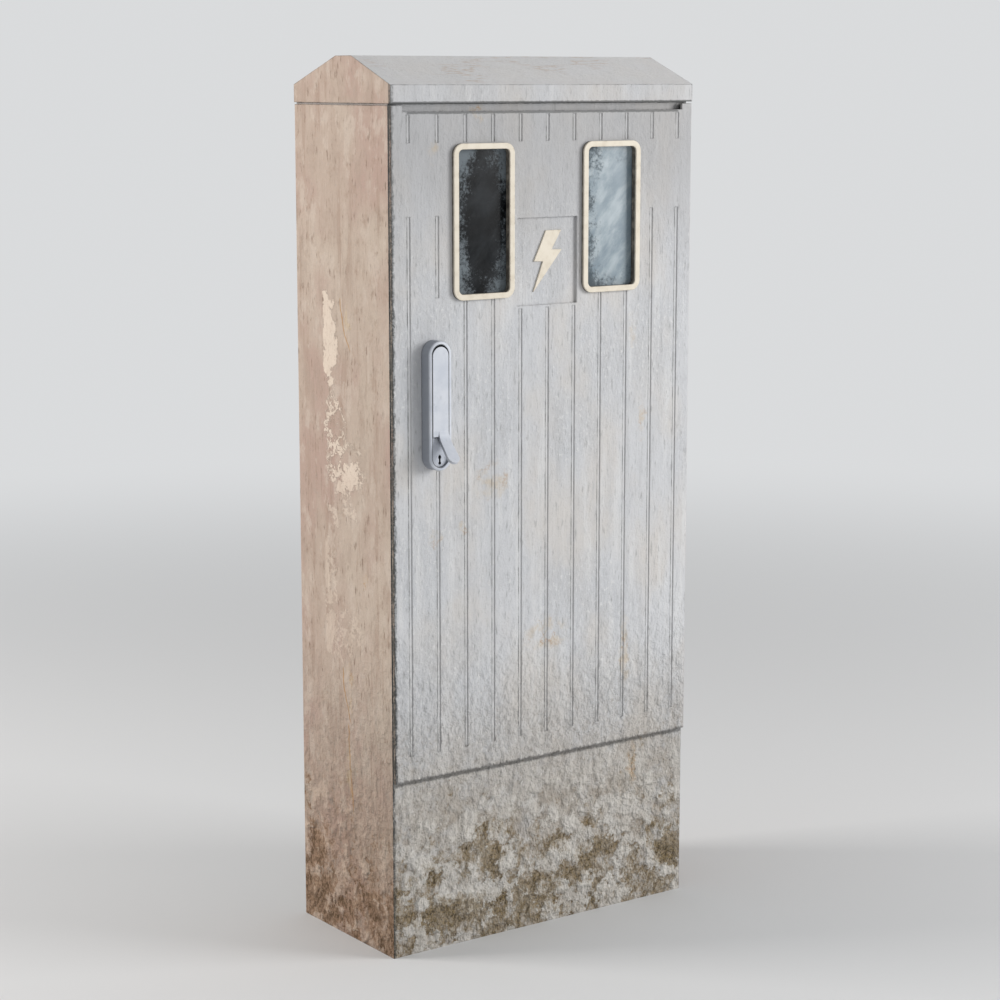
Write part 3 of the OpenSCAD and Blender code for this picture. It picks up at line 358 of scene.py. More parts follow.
def make(tree, kind, inputs=None, **settings):
    """Add a node, set its settings, and fill its inputs with values or links."""
    item = tree.nodes.new(kind)
    for name, value in settings.items():
        setattr(item, name, value)
    for key, value in (inputs or {}).items():
        if isinstance(value, bpy.types.NodeSocket):
            tree.links.new(value, item.inputs[key])
        else:
            item.inputs[key].default_value = value
    return item


def calc(tree, operation, first, *others):
    """Link values by one kind of arithmetic, from the first to the last."""
    for other in others or [0.0]:
        first = make(tree, "ShaderNodeMath", {0: first, 1: other}, operation=operation).outputs[0]
    return first


def times(tree, *values):
    return calc(tree, "MULTIPLY", *values)


def vector_calc(tree, operation, *values):
    """One step of arithmetic with vectors."""
    step = make(tree, "ShaderNodeVectorMath", dict(enumerate(values)), operation=operation)
    return step.outputs["Value" if operation in ("LENGTH", "DOT_PRODUCT") else "Vector"]


def stretch(tree, where, scales):
    return vector_calc(tree, "MULTIPLY", where, scales)


def axes(tree, vector):
    """The x, y and z of a vector."""
    return make(tree, "ShaderNodeSeparateXYZ", {0: vector}).outputs[:]


def ramp(tree, value, low, high, start=0.0, end=1.0):
    """Ease a value from start to end while it goes from low to high."""
    inputs = {"Value": value, "From Min": low, "From Max": high, "To Min": start, "To Max": end}
    return make(tree, "ShaderNodeMapRange", inputs, interpolation_type="SMOOTHSTEP").outputs["Result"]


def rgba(color):
    """A link as it is, or red, green and blue with full alpha."""
    return color if isinstance(color, bpy.types.NodeSocket) else (*color, 1.0)


def blend(tree, share, under, over):
    """Lay one colour over another."""
    inputs = {0: share, 6: rgba(under), 7: rgba(over)}
    return make(tree, "ShaderNodeMix", inputs, data_type="RGBA").outputs[2]


def noise(tree, where, scale, detail=4.0, roughness=0.55):
    inputs = {"Vector": where, "Scale": scale, "Detail": detail, "Roughness": roughness}
    return make(tree, "ShaderNodeTexNoise", inputs).outputs[0]


def bump(tree, height, strength, depth, **normal):
    """A normal that follows a height; another normal may be given to start from."""
    inputs = {"Strength": strength, "Distance": depth, "Height": height, **normal}
    return make(tree, "ShaderNodeBump", inputs).outputs[0]


def spot(tree, where, middle, half):
    """A soft spot that is 1 in its middle and 0 past its half sizes."""
    away = vector_calc(tree, "SUBTRACT", where, middle)
    share = vector_calc(tree, "DIVIDE", away, half)
    return ramp(tree, vector_calc(tree, "LENGTH", share), 1.25, 0.45)


def spots(tree, where, places, across):
    """The strongest of several spots on a face; across is the axis that the face looks along."""
    found = []
    for (side, level), (half_side, half_level) in places:
        if across == "y":
            found.append(spot(tree, where, (side, 0.0, level), (half_side, ANY_DEPTH, half_level)))
        else:
            found.append(spot(tree, where, (0.0, side, level), (ANY_DEPTH, half_side, half_level)))
    return calc(tree, "MAXIMUM", *found)


def veins(tree, where, scale, width):
    """Thin wandering lines, 1 on the line and 0 beside it."""
    field = noise(tree, where, scale, 3.0, 0.6)
    off = calc(tree, "ABSOLUTE", calc(tree, "SUBTRACT", field, 0.5))
    return ramp(tree, off, width, 0.0)


def edge_wear(tree, radius):
    """The normal with its edges rounded, and how well it agrees with the flat face's, 1 away from edges."""
    soft_edge = make(tree, "ShaderNodeBevel", {"Radius": radius}, samples=4).outputs[0]
    true_normal = make(tree, "ShaderNodeNewGeometry").outputs["Normal"]
    return soft_edge, vector_calc(tree, "DOT_PRODUCT", soft_edge, true_normal)


def new_material(name):
    """A material with an empty tree, its main shader and its output."""
    material = bpy.data.materials.new(name)
    material.use_nodes = True
    tree = material.node_tree
    tree.nodes.clear()
    shader = make(tree, "ShaderNodeBsdfPrincipled")
    make(tree, "ShaderNodeOutputMaterial", {"Surface": shader.outputs[0]})
    return material, tree, shader


def plug(tree, shader, **values):
    """Fill the shader's sockets, whose names have underscores here for spaces."""
    for key, value in values.items():
        socket = shader.inputs[key.replace("_", " ")]
        if isinstance(value, bpy.types.NodeSocket):
            tree.links.new(value, socket)
        else:
            socket.default_value = value


def wear(name, material):
    """Give a CAD piece its finish."""
    piece = NODES[name].data
    piece.materials.clear()
    piece.materials.append(material)


# The weathered shell

def shell_fields(tree):
    """The noise and masks that the weathered shell's colour and relief share."""
    place = make(tree, "ShaderNodeTexCoord")
    where = place.outputs["Object"]
    x, y, z = axes(tree, where)
    facing = axes(tree, place.outputs["Normal"])
    soft_normal, turn = edge_wear(tree, SHELL_EDGE)
    field = {name: noise(tree, stretch(tree, where, scales), 1.0, detail, roughness)
             for name, (scales, detail, roughness) in SHELL_NOISE.items()}
    field.update(where=where, x=x, y=y, z=z, soft_normal=soft_normal)
    field["torn"] = torn_place(tree, where)
    field["layer"] = ramp(tree, noise(tree, where, 17.0, 8.0, 0.62), 0.500, 0.515)
    field["low"] = ramp(tree, z, 0.46, 0.16)
    field["edge"] = ramp(tree, turn, 0.99, 0.82)
    field["shallow_edge"] = ramp(tree, turn, 0.9992, 0.982)
    add_faces(tree, field, facing)
    add_grooves(tree, field, facing)
    return field


def torn_place(tree, where):
    """Places shifted at random, which tears the outlines of what is painted by them."""
    inputs = {"Vector": where, "Scale": 48.0, "Detail": 7.0, "Roughness": 0.68}
    ragged = make(tree, "ShaderNodeTexNoise", inputs).outputs["Color"]
    shift = vector_calc(tree, "SUBTRACT", ragged, (0.5,) * 3)
    return vector_calc(tree, "MULTIPLY_ADD", shift, (TEAR_WIDTH,) * 3, where)


def add_faces(tree, field, facing):
    """Masks of the faces that look to the sides, front, rear and up; the walls' inner faces are left out."""
    wall = OUTER_FACE - 0.004, OUTER_FACE - 0.002
    outer = ramp(tree, calc(tree, "ABSOLUTE", field["x"]), *wall)
    outer_left = ramp(tree, field["x"], -wall[0], -wall[1])
    outer_back = ramp(tree, field["y"], BACK_FACE - 0.004, BACK_FACE - 0.002)
    field["side"] = times(tree, ramp(tree, calc(tree, "ABSOLUTE", facing[0]), 0.45, 0.75), outer)
    field["left"] = times(tree, ramp(tree, facing[0], -0.45, -0.75), outer_left)
    field["front"] = ramp(tree, facing[1], -0.45, -0.75)
    field["rear"] = times(tree, ramp(tree, facing[1], 0.45, 0.75), outer_back)
    field["up"] = ramp(tree, facing[2], 0.20, 0.50)


def add_grooves(tree, field, facing):
    """Masks of the door's grooves: how far a place is from one, floors, walls, and the left half of each."""
    column = calc(tree, "ADD", calc(tree, "DIVIDE", field["x"], GROOVE_PITCH), 0.5)
    column = calc(tree, "SUBTRACT", calc(tree, "FRACT", column), 0.5)
    from_groove = times(tree, calc(tree, "ABSOLUTE", column), GROOVE_PITCH)
    on_door = ramp(tree, field["y"], DOOR_FACE + 0.0022, DOOR_FACE + 0.0014)
    near = times(tree, ramp(tree, from_groove, 0.0044, 0.0038), on_door)
    sunk = ramp(tree, field["y"], DOOR_FACE + 0.0005, DOOR_FACE + 0.0009)
    field["from_groove"] = from_groove
    field["groove_floor"] = times(tree, near, sunk)
    field["groove_wall"] = times(tree, near, ramp(tree, calc(tree, "ABSOLUTE", facing[0]), 0.45, 0.75))
    field["groove_left"] = ramp(tree, column, 0.02, -0.02, 0.15, 1.0)


def tint(tree, tone, field, tints):
    """Lay a table of tints over a tone, each where its noise is in its range."""
    for name, low, high, share, color in tints:
        tone = blend(tree, ramp(tree, field[name], low, high, 0.0, share), tone, color)
    return tone


def tint_by_level(tree, tone, field, tints):
    """Lay a table of tints over a tone, each where its noise is in its range and stronger near the ground."""
    for name, low, high, (top, foot, least, most), color in tints:
        by_level = ramp(tree, field["z"], top, foot, least, most)
        tone = blend(tree, times(tree, ramp(tree, field[name], low, high), by_level), tone, color)
    return tone


def side_ground(tree, looks, field):
    """Tan of the sides, partly painted warm light, with clouds, streaks and short dashes, warmer near the
    ground.
    """
    side = tint(tree, looks.side_tan_and_warm_light, field, SIDE_TINTS)
    dashes = ramp(tree, field["fibre"], 0.55, 0.70)
    dashes = times(tree, dashes, ramp(tree, field["mottle"], 0.46, 0.58, 0.20, 0.95))
    side = blend(tree, dashes, side, (0.225, 0.160, 0.120))
    return blend(tree, ramp(tree, field["z"], 0.40, 0.05, 0.0, 0.35), side, (0.430, 0.275, 0.180))


def front_ground(tree, looks, field):
    """Bleached grey with streaks and pale flakes, warmer near the ground, with painted shade below the eave
    and a painted highlight on faces that look up.
    """
    front = tint(tree, looks.shell_color, field, FRONT_TINTS)
    pale = ramp(tree, field["flake"], 0.54, 0.68)
    pale = times(tree, pale, ramp(tree, field["cloud"], 0.48, 0.60, 0.05, 0.6))
    front = blend(tree, pale, front, (0.800, 0.800, 0.800))
    warm = times(tree, field["low"], ramp(tree, field["mottle"], 0.36, 0.56, 0.45, 0.95))
    front = blend(tree, warm, front, (0.550, 0.505, 0.450))
    islands = times(tree, field["low"], field["layer"], ramp(tree, field["z"], 0.34, 0.18, 0.05, 0.50))
    front = blend(tree, islands, front, (0.720, 0.690, 0.640))
    front = tint_by_level(tree, front, field, CREST_HIGHLIGHTS)
    # Painted shade on the upper front, growing towards the eave.
    shade = ramp(tree, field["z"], 1.02, 1.30, 0.0, 0.60)
    shade = times(tree, shade, ramp(tree, field["z"], EAVE_LEVEL - 0.008, EAVE_LEVEL + 0.004, 1.0, 0.35))
    front = blend(tree, shade, front, (0.385, 0.383, 0.388))
    # Painted highlight: faces that look up, such as the roof, are lightened as if lit from above.
    return blend(tree, times(tree, field["up"], 0.60), front, (0.740, 0.735, 0.735))


def shell_ground(tree, looks, field):
    """Ground of the shell: grey, tan on the sides, with painted highlights on the lumps and painted shade in
    the hollows low down, and painted light in the grooves.
    """
    tone = blend(tree, field["side"], front_ground(tree, looks, field), side_ground(tree, looks, field))
    # Painted shade in the cavities, painted highlights on the lumps, painted shade in the hollows.
    tone = tint_by_level(tree, tone, field, CAVITY_SHADE)
    lump_highlight = blend(tree, field["side"], (0.800, 0.770, 0.720), (0.680, 0.540, 0.430))
    tone = tint_by_level(tree, tone, field, [("lump", 0.52, 0.64, (0.34, 0.14, 0.0, 0.62), lump_highlight)])
    tone = tint_by_level(tree, tone, field, HOLLOW_SHADE)
    tone = blend(tree, ramp(tree, field["grain"], 0.56, 0.72, 0.0, 0.30), tone, (0.320, 0.305, 0.290))
    # Painted light: the grooves' floors and walls are paled to lift the shadow in them.
    lit_floors, lit_walls = times(tree, field["groove_floor"], 0.20), times(tree, field["groove_wall"], 0.60)
    return blend(tree, calc(tree, "ADD", lit_floors, lit_walls), tone, (0.880, 0.885, 0.890))


def shell_peel(tree, field):
    """Where the old cream paint still clings to the left side: patches, and thin curls below them."""
    patch = spots(tree, field["torn"], LEFT_PEEL, "x")
    patch = times(tree, patch, ramp(tree, field["y"], PEEL_END + 0.003, PEEL_END))
    patch = calc(tree, "ADD", patch, ramp(tree, field["mottle"], 0.32, 0.68, -0.36, 0.36))
    curls = times(tree, veins(tree, field["torn"], 26.0, 0.070), spots(tree, field["torn"], LEFT_CURLS, "x"))
    peel = calc(tree, "MAXIMUM", ramp(tree, patch, 0.46, 0.54), ramp(tree, curls, 0.16, 0.46))
    return times(tree, peel, ramp(tree, field["z"], 0.66, 0.80, 0.40, 0.90), field["left"])


def crack_line(tree, field, upper, lower):
    """A thin crack that leaves its upper end straight down and bends towards its lower end."""
    inputs = {"Value": field["z"], "From Min": upper[1], "From Max": lower[1]}
    fall = make(tree, "ShaderNodeMapRange", inputs).outputs["Result"]
    bend = times(tree, fall, fall, lower[0] - upper[0])
    wander = times(tree, calc(tree, "SUBTRACT", field["mottle"], 0.5), CRACK_WANDER)
    off = calc(tree, "SUBTRACT", calc(tree, "ADD", field["y"], wander), upper[0], bend)
    line = ramp(tree, calc(tree, "ABSOLUTE", off), 0.0022, 0.0004)
    return times(tree, line, ramp(tree, fall, 0.0, 0.08), ramp(tree, fall, 1.0, 0.85))


def shell_rust(tree, field):
    """Faint ochre stains, and the thin rust-brown cracks in them with the scratches over the roof."""
    front = times(tree, spots(tree, field["torn"], FRONT_RUST, "y"), field["front"])
    left = times(tree, spots(tree, field["torn"], LEFT_RUST, "x"), field["left"])
    stain = calc(tree, "MAXIMUM", front, left)
    crack = veins(tree, stretch(tree, field["torn"], (1.0, 1.0, 0.45)), 16.0, 0.018)
    crack = times(tree, crack, stain, 0.7)
    for upper, lower in LEFT_CRACKS:
        line = times(tree, crack_line(tree, field, upper, lower), field["left"])
        crack = calc(tree, "MAXIMUM", crack, line)
    wash = times(tree, stain, ramp(tree, field["mottle"], 0.40, 0.64, 0.02, 0.48))
    inputs = {"Vector": field["where"], "Rotation": (0.0, 0.0, 0.5), "Scale": (9.0, 42.0, 9.0)}
    slanted = make(tree, "ShaderNodeMapping", inputs).outputs[0]
    scratch = times(tree, veins(tree, slanted, 1.0, 0.035), ramp(tree, field["cloud"], 0.46, 0.58))
    scratch = times(tree, scratch, field["up"], 0.30)
    return wash, calc(tree, "MAXIMUM", scratch, times(tree, crack, 0.80))


def shell_moss(tree, field):
    """Growth near the ground, thickest in the hollows of the rough surface: a wide stain and a dark heart."""
    clumps = noise(tree, field["where"], 24.0, 9.0, 0.78)
    front = times(tree, spots(tree, field["torn"], PLINTH_MOSS, "y"), field["front"])
    left = times(tree, spots(tree, field["torn"], LEFT_MOSS, "x"), field["left"])
    patches = times(tree, calc(tree, "MAXIMUM", front, left), 0.16)
    damp = calc(tree, "ADD", ramp(tree, field["z"], 0.30, 0.0, -0.12, 0.10), patches)
    hollow = times(tree, calc(tree, "SUBTRACT", 0.5, field["layer"]), 0.16)
    grit = times(tree, calc(tree, "SUBTRACT", 0.5, field["flake"]), 0.5)
    amount = calc(tree, "ADD", calc(tree, "ADD", clumps, damp), calc(tree, "ADD", hollow, grit))
    outside = calc(tree, "MAXIMUM", field["front"], field["rear"], field["side"])
    fade = times(tree, ramp(tree, field["z"], 0.42, 0.26), outside)
    stain = times(tree, ramp(tree, amount, 0.51, 0.73), fade)
    heart = times(tree, ramp(tree, amount, 0.60, 0.80), fade)
    return stain, heart


def add_moss(tree, looks, field, tone):
    """Lay the growth over a tone: brown stains, then the heart where the surface isn't raised."""
    stain, heart = shell_moss(tree, field)
    damp = blend(tree, field["side"], (0.315, 0.240, 0.142), (0.345, 0.205, 0.115))
    tone = blend(tree, times(tree, stain, 0.68), tone, damp)
    moss = blend(tree, ramp(tree, field["grain"], 0.40, 0.60), looks.moss_color, (0.285, 0.212, 0.110))
    moss = blend(tree, field["side"], moss, (0.135, 0.080, 0.042))
    heart = times(tree, heart, ramp(tree, field["lump"], 0.40, 0.60, 1.0, 0.50))
    return blend(tree, times(tree, heart, ramp(tree, field["flake"], 0.58, 0.42, 0.30, 1.0)), tone, moss)


def groove_shade_and_dirt(tree, field):
    """Painted shade and dirt on the lips and the floor of each groove, strongest in its left half."""
    away = field["from_groove"]
    lips = times(tree, ramp(tree, away, 0.0010, 0.0020), ramp(tree, away, 0.0058, 0.0048))
    lips = times(tree, lips, field["shallow_edge"], field["front"], 0.6)
    settled = times(tree, field["groove_floor"], field["front"], ramp(tree, away, 0.0007, 0.0014))
    patchy = ramp(tree, field["mottle"], 0.36, 0.62, 0.30, 0.80)
    return times(tree, calc(tree, "MAXIMUM", lips, settled), field["groove_left"], patchy)


def seam_shade(tree, field, ragged):
    """Painted shade in the seams, in the gap below the door, and in lines under the eave."""
    # Painted shade where parts meet, from an occlusion test.
    deep = make(tree, "ShaderNodeAmbientOcclusion", {"Distance": 0.012}, samples=8).outputs["AO"]
    level = calc(tree, "ADD", field["z"], ragged)
    gap = ramp(tree, level, DOOR_FOOT - 0.0100, DOOR_FOOT - 0.0065)
    gap = times(tree, gap, ramp(tree, level, DOOR_FOOT + 0.0045, DOOR_FOOT + 0.0005), field["front"], 0.55)
    painted_shade = calc(tree, "MAXIMUM", ramp(tree, deep, 0.42, 0.16, 0.0, 0.95), gap)
    level = calc(tree, "ADD", field["z"], times(tree, ragged, 0.3))
    aside = calc(tree, "ABSOLUTE", field["x"])
    for lowest, highest, reach, share in EAVE_SHADE_LINES:
        low, high = EAVE_LEVEL + lowest, EAVE_LEVEL + highest
        line = times(tree, ramp(tree, level, low - 0.0012, low), ramp(tree, level, high + 0.0012, high))
        line = times(tree, line, ramp(tree, aside, reach, reach - 0.004), field["front"], share)
        painted_shade = calc(tree, "MAXIMUM", painted_shade, line)
    return painted_shade


def edge_dirt(tree, field, ragged):
    """Dirt along the outer edges, and dotted bands on the left of the front and round the door's own edge."""
    outer = ramp(tree, calc(tree, "ABSOLUTE", field["x"]), OUTER_FACE - 0.0070, OUTER_FACE - 0.0015)
    outer = calc(tree, "MAXIMUM", outer, ramp(tree, field["z"], EAVE_LEVEL - 0.008, EAVE_LEVEL - 0.002))
    rim = times(tree, field["edge"], outer, ramp(tree, field["mottle"], 0.38, 0.60, 0.2, 0.9))
    speckle = ramp(tree, calc(tree, "ADD", field["fibre"], field["grain"]), 0.86, 1.06)
    band = ramp(tree, calc(tree, "ADD", field["x"], ragged), 0.0065 - OUTER_FACE, 0.0020 - OUTER_FACE)
    band = times(tree, band, field["front"], calc(tree, "ADD", times(tree, speckle, 0.45), 0.45))
    band = times(tree, band, ramp(tree, field["z"], 1.32, 0.95, 0.65, 1.0))
    door_edge = times(tree, ramp(tree, field["y"], DOOR_FACE + 0.0065, DOOR_FACE + 0.0050), field["side"])
    door_edge = times(tree, door_edge, calc(tree, "ADD", times(tree, speckle, 0.4), 0.5))
    return calc(tree, "MAXIMUM", rim, band, door_edge)


def shell_dirt_and_shade(tree, field):
    """All the dark dirt and painted shade of the shell."""
    ragged = times(tree, calc(tree, "SUBTRACT", field["flake"], 0.5), RAGGED_DIRT_AND_SHADE)
    grooves = groove_shade_and_dirt(tree, field)
    return calc(tree, "MAXIMUM", grooves, seam_shade(tree, field, ragged), edge_dirt(tree, field, ragged))


def shell_relief(tree, field, peel):
    """Height of the shell's surface: coarse and lumpy low down, finer above, with the old paint raised."""
    coarse = ramp(tree, field["z"], 0.60, 0.22, 0.06, 1.0)
    parts = [
        times(tree, field["rock"], coarse, ramp(tree, field["y"], -0.11, 0.13, 3.4, 2.4)),
        times(tree, field["lump"], ramp(tree, field["z"], 0.36, 0.14, 0.0, 4.2)),
        times(tree, field["layer"], ramp(tree, field["z"], 0.30, 0.20, 0.0, 0.16)),
        times(tree, field["flake"], ramp(tree, field["cloud"], 0.46, 0.60, 0.07, 0.22)),
    ]
    parts += [times(tree, field[name], height) for name, height in FINE_RELIEF]
    return calc(tree, "ADD", *parts, times(tree, peel, PEEL_RELIEF))


def weathered_shell(looks):
    """Bleached, streaked and rough moulding with rust, peeling paint, grime and moss, painted shade in its
    seams and hollows, and painted light on its crests, grooves and sides.
    """
    material, tree, shader = new_material("weathered_shell")
    field = shell_fields(tree)
    peel = shell_peel(tree, field)
    flaked = ramp(tree, field["flake"], 0.50, 0.66, 0.0, 0.8)
    paint = blend(tree, flaked, looks.peel_color, (0.580, 0.460, 0.375))
    tone = blend(tree, peel, shell_ground(tree, looks, field), paint)
    wash, cracks = shell_rust(tree, field)
    tone = blend(tree, wash, tone, (0.610, 0.480, 0.310))
    tone = blend(tree, cracks, tone, looks.rust_color)
    tone = add_moss(tree, looks, field, tone)
    # Dirt along the edges and painted shade in seams, grooves and under the eave.
    tone = blend(tree, shell_dirt_and_shade(tree, field), tone, looks.grime_and_shade_color)
    bumped = bump(tree, shell_relief(tree, field, peel), 1.0, 0.006, Normal=field["soft_normal"])
    rough = ramp(tree, field["mottle"], 0.3, 0.7, 0.72, 0.94)
    plug(tree, shader, Base_Color=tone, Roughness=rough, Normal=bumped, Specular_IOR_Level=0.30)
    return material


# The other finishes

def worn_cream(name, looks, recess_shade):
    """Cream moulding, chipped along its edges; the flag paints shade on what lies behind the frames' front
    lip.
    """
    material, tree, shader = new_material(name)
    where = make(tree, "ShaderNodeTexCoord").outputs["Object"]
    mottle = noise(tree, where, 70.0, 6.0, 0.65)
    grain = noise(tree, where, 420.0, 3.0)
    tone = blend(tree, ramp(tree, mottle, 0.46, 0.72, 0.0, 0.40), looks.cream_color, (0.640, 0.560, 0.440))
    soft_normal, turn = edge_wear(tree, CREAM_EDGE)
    chip = times(tree, ramp(tree, turn, 0.99, 0.82), ramp(tree, mottle, 0.54, 0.64), 0.6)
    tone = blend(tree, chip, tone, (0.220, 0.170, 0.120))
    if recess_shade:
        # Painted shade inside the frames, behind their front lip.
        behind = ramp(tree, axes(tree, where)[1], FRAME_LIP + 0.0012, FRAME_LIP + 0.0040)
        behind = times(tree, behind, ramp(tree, mottle, 0.30, 0.60, 0.70, 0.95))
        tone = blend(tree, behind, tone, (0.050, 0.042, 0.034))
    bumped = bump(tree, calc(tree, "ADD", grain, mottle), 0.30, 0.0008, Normal=soft_normal)
    plug(tree, shader, Base_Color=tone, Roughness=ramp(tree, mottle, 0.3, 0.7, 0.45, 0.7), Normal=bumped)
    return material


def pane_rim(tree, where, frame_node, edges):
    """How near a place is to the left, right, top and bottom edges of a pane, each with its own weight."""
    low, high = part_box(frame_node)
    half = (high - low) / 2 - Vector((1.0, 0.0, 1.0)) * WINDOW_BAR
    away = vector_calc(tree, "SUBTRACT", where, (low + high) / 2)
    x, _, z = axes(tree, vector_calc(tree, "DIVIDE", away, (half.x, 1.0, half.z)))
    reaches = [(x, -0.10, -0.86), (x, 0.30, 1.0), (z, 0.55, 1.0), (z, -0.55, -1.0)]
    sides = [ramp(tree, axis, inner, outer, 0.0, weight)
             for (axis, inner, outer), weight in zip(reaches, edges)]
    return calc(tree, "ADD", *sides)


def grimy_pane(name, frame_node, glass, haze, haze_share, dust, edges, shine):
    """A pane with slanted smears of haze and with patches of dust that gather at its edges."""
    material, tree, shader = new_material(name)
    where = make(tree, "ShaderNodeTexCoord").outputs["Object"]
    rim = pane_rim(tree, where, frame_node, edges)
    speck = noise(tree, where, 210.0, 7.0, 0.80)
    cloud = noise(tree, where, 22.0, 5.0, 0.6)
    patch = noise(tree, where, 34.0, 4.0, 0.6)
    inputs = {"Vector": where, "Rotation": (0.0, SMEAR_SLANT, 0.0), "Scale": SMEAR_SIZE}
    slanted = make(tree, "ShaderNodeMapping", inputs, vector_type="TEXTURE").outputs[0]
    smear = noise(tree, slanted, 1.0, 5.0, 0.58)
    amount = calc(tree, "ADD", rim, times(tree, patch, 1.5), times(tree, speck, 1.7))
    dusty = times(tree, ramp(tree, amount, 1.80, 2.25), ramp(tree, rim, 0.0, 0.10))
    tone = blend(tree, ramp(tree, smear, 0.38, 0.68, 0.0, haze_share), glass, haze)
    tone = blend(tree, times(tree, dusty, 0.85), tone, dust)
    rough = calc(tree, "ADD", times(tree, dusty, 0.5), ramp(tree, cloud, 0.3, 0.7, 0.16, 0.32))
    bumped = bump(tree, speck, 0.12, 0.0004)
    plug(tree, shader, Base_Color=tone, Roughness=rough, Normal=bumped, Specular_IOR_Level=shine)
    return material


def pocket_shade_line(tree, aside, z):
    """Painted shade along the left of the handle's pocket, which is straight with round ends."""
    low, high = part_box("handle_housing")
    radius = (high.x - low.x) / 2
    below = calc(tree, "MINIMUM", calc(tree, "SUBTRACT", z, low.z + radius), 0.0)
    above = calc(tree, "MAXIMUM", calc(tree, "SUBTRACT", z, high.z - radius), 0.0)
    reach = make(tree, "ShaderNodeCombineXYZ", {0: aside, 2: calc(tree, "ADD", below, above)}).outputs[0]
    off = calc(tree, "SUBTRACT", vector_calc(tree, "LENGTH", reach), radius - HANDLE_RIM + POCKET_SHADE_WIDTH / 4)
    painted_shade = ramp(tree, calc(tree, "ABSOLUTE", off), POCKET_SHADE_WIDTH, POCKET_SHADE_WIDTH / 3, 0.0, 0.85)
    return times(tree, painted_shade, ramp(tree, aside, 0.011, 0.002))


def keyhole(tree, aside, y, z):
    """The keyhole painted on the lock's face as the shade of its opening: a round eye over a narrow slot."""
    low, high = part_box("lock_cylinder")
    level = calc(tree, "SUBTRACT", z, (low.z + high.z) / 2)
    inputs = {0: aside, 2: calc(tree, "SUBTRACT", level, KEYHOLE_EYE)}
    from_eye = vector_calc(tree, "LENGTH", make(tree, "ShaderNodeCombineXYZ", inputs).outputs[0])
    slot = ramp(tree, calc(tree, "ABSOLUTE", aside), 0.60 * KEYHOLE_RADIUS, 0.45 * KEYHOLE_RADIUS)
    ends = ramp(tree, calc(tree, "ABSOLUTE", level), 1.65 * KEYHOLE_EYE, 1.55 * KEYHOLE_EYE)
    eye = ramp(tree, from_eye, KEYHOLE_RADIUS, 0.9 * KEYHOLE_RADIUS)
    hole = calc(tree, "MAXIMUM", times(tree, slot, ends), eye)
    return times(tree, ramp(tree, y, low.y - 0.0010, low.y - 0.0005), hole)


def coated_handle(looks):
    """Blue-grey coat with faint clouds, painted shade on its sides, in its hollows and along the left of its
    pocket, and a keyhole painted as the shade of its opening.
    """
    material, tree, shader = new_material("coated_handle")
    place = make(tree, "ShaderNodeTexCoord")
    where = place.outputs["Object"]
    x, y, z = axes(tree, where)
    facing = axes(tree, place.outputs["Normal"])[1]
    mottle = noise(tree, where, 90.0, 6.0, 0.65)
    cloud = noise(tree, where, 24.0, 4.0)
    tone = blend(tree, ramp(tree, cloud, 0.36, 0.68), looks.handle_color, (0.69, 0.720, 0.780))
    tone = blend(tree, ramp(tree, mottle, 0.55, 0.75, 0.0, 0.45), tone, (0.30, 0.33, 0.39))
    low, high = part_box("handle_housing")
    aside = calc(tree, "SUBTRACT", x, (low.x + high.x) / 2)
    # Painted shade along the left of the pocket, on faces that look to the front.
    painted_shade = times(tree, pocket_shade_line(tree, aside, z), ramp(tree, facing, -0.60, -0.90))
    tone = blend(tree, painted_shade, tone, (0.050, 0.054, 0.062))
    # Keyhole painted near-black as the shade of its opening.
    tone = blend(tree, keyhole(tree, aside, y, z), tone, (0.012, 0.012, 0.014))
    # Painted shade on the faces that turn away from the front.
    tone = blend(tree, ramp(tree, facing, -0.80, -0.20, 0.0, 0.85), tone, (0.250, 0.270, 0.310))
    # Painted shade in the handle's hollows, from an occlusion test.
    hollow = make(tree, "ShaderNodeAmbientOcclusion", {"Distance": 0.009}, samples=6).outputs["AO"]
    tone = blend(tree, ramp(tree, hollow, 0.70, 0.28, 0.0, 0.90), tone, (0.035, 0.038, 0.045))
    soft_edge = make(tree, "ShaderNodeBevel", {"Radius": HANDLE_EDGE}, samples=4).outputs[0]
    bumped = bump(tree, mottle, 0.25, 0.0006, Normal=soft_edge)
    plug(tree, shader, Base_Color=tone, Roughness=ramp(tree, mottle, 0.3, 0.7, 0.40, 0.62), Normal=bumped)
    return material


def plain_finish(name, color, second, metal, rough, scale, stretch_by=(1.0, 1.0, 1.0), relief=0.2):
    """A finish of two close tones in clouds or brushed lines, used inside the cabinet."""
    material, tree, shader = new_material(name)
    where = stretch(tree, make(tree, "ShaderNodeTexCoord").outputs["Object"], stretch_by)
    cloud = noise(tree, where, scale, 6.0, 0.62)
    fine = noise(tree, where, scale * 8.0, 3.0)
    tone = blend(tree, ramp(tree, cloud, 0.36, 0.68), color, second)
    bumped = bump(tree, calc(tree, "ADD", cloud, fine), relief, 0.0005)
    shine = ramp(tree, fine, 0.3, 0.7, rough - 0.08, rough + 0.10)
    plug(tree, shader, Base_Color=tone, Roughness=shine, Normal=bumped, Metallic=metal)
    return material


# Pieces

class CABINET_OT_finish_shell(bpy.types.Operator):
    """Put the weathered finish on the walls, roof, plinth and door"""

    bl_idname = "cabinet.finish_shell"
    bl_label = "Finish shell"

    def execute(self, context):
        material = weathered_shell(context.scene.cabinet_finish)
        for name in SHELL_NODES:
            wear(name, material)
        return {"FINISHED"}


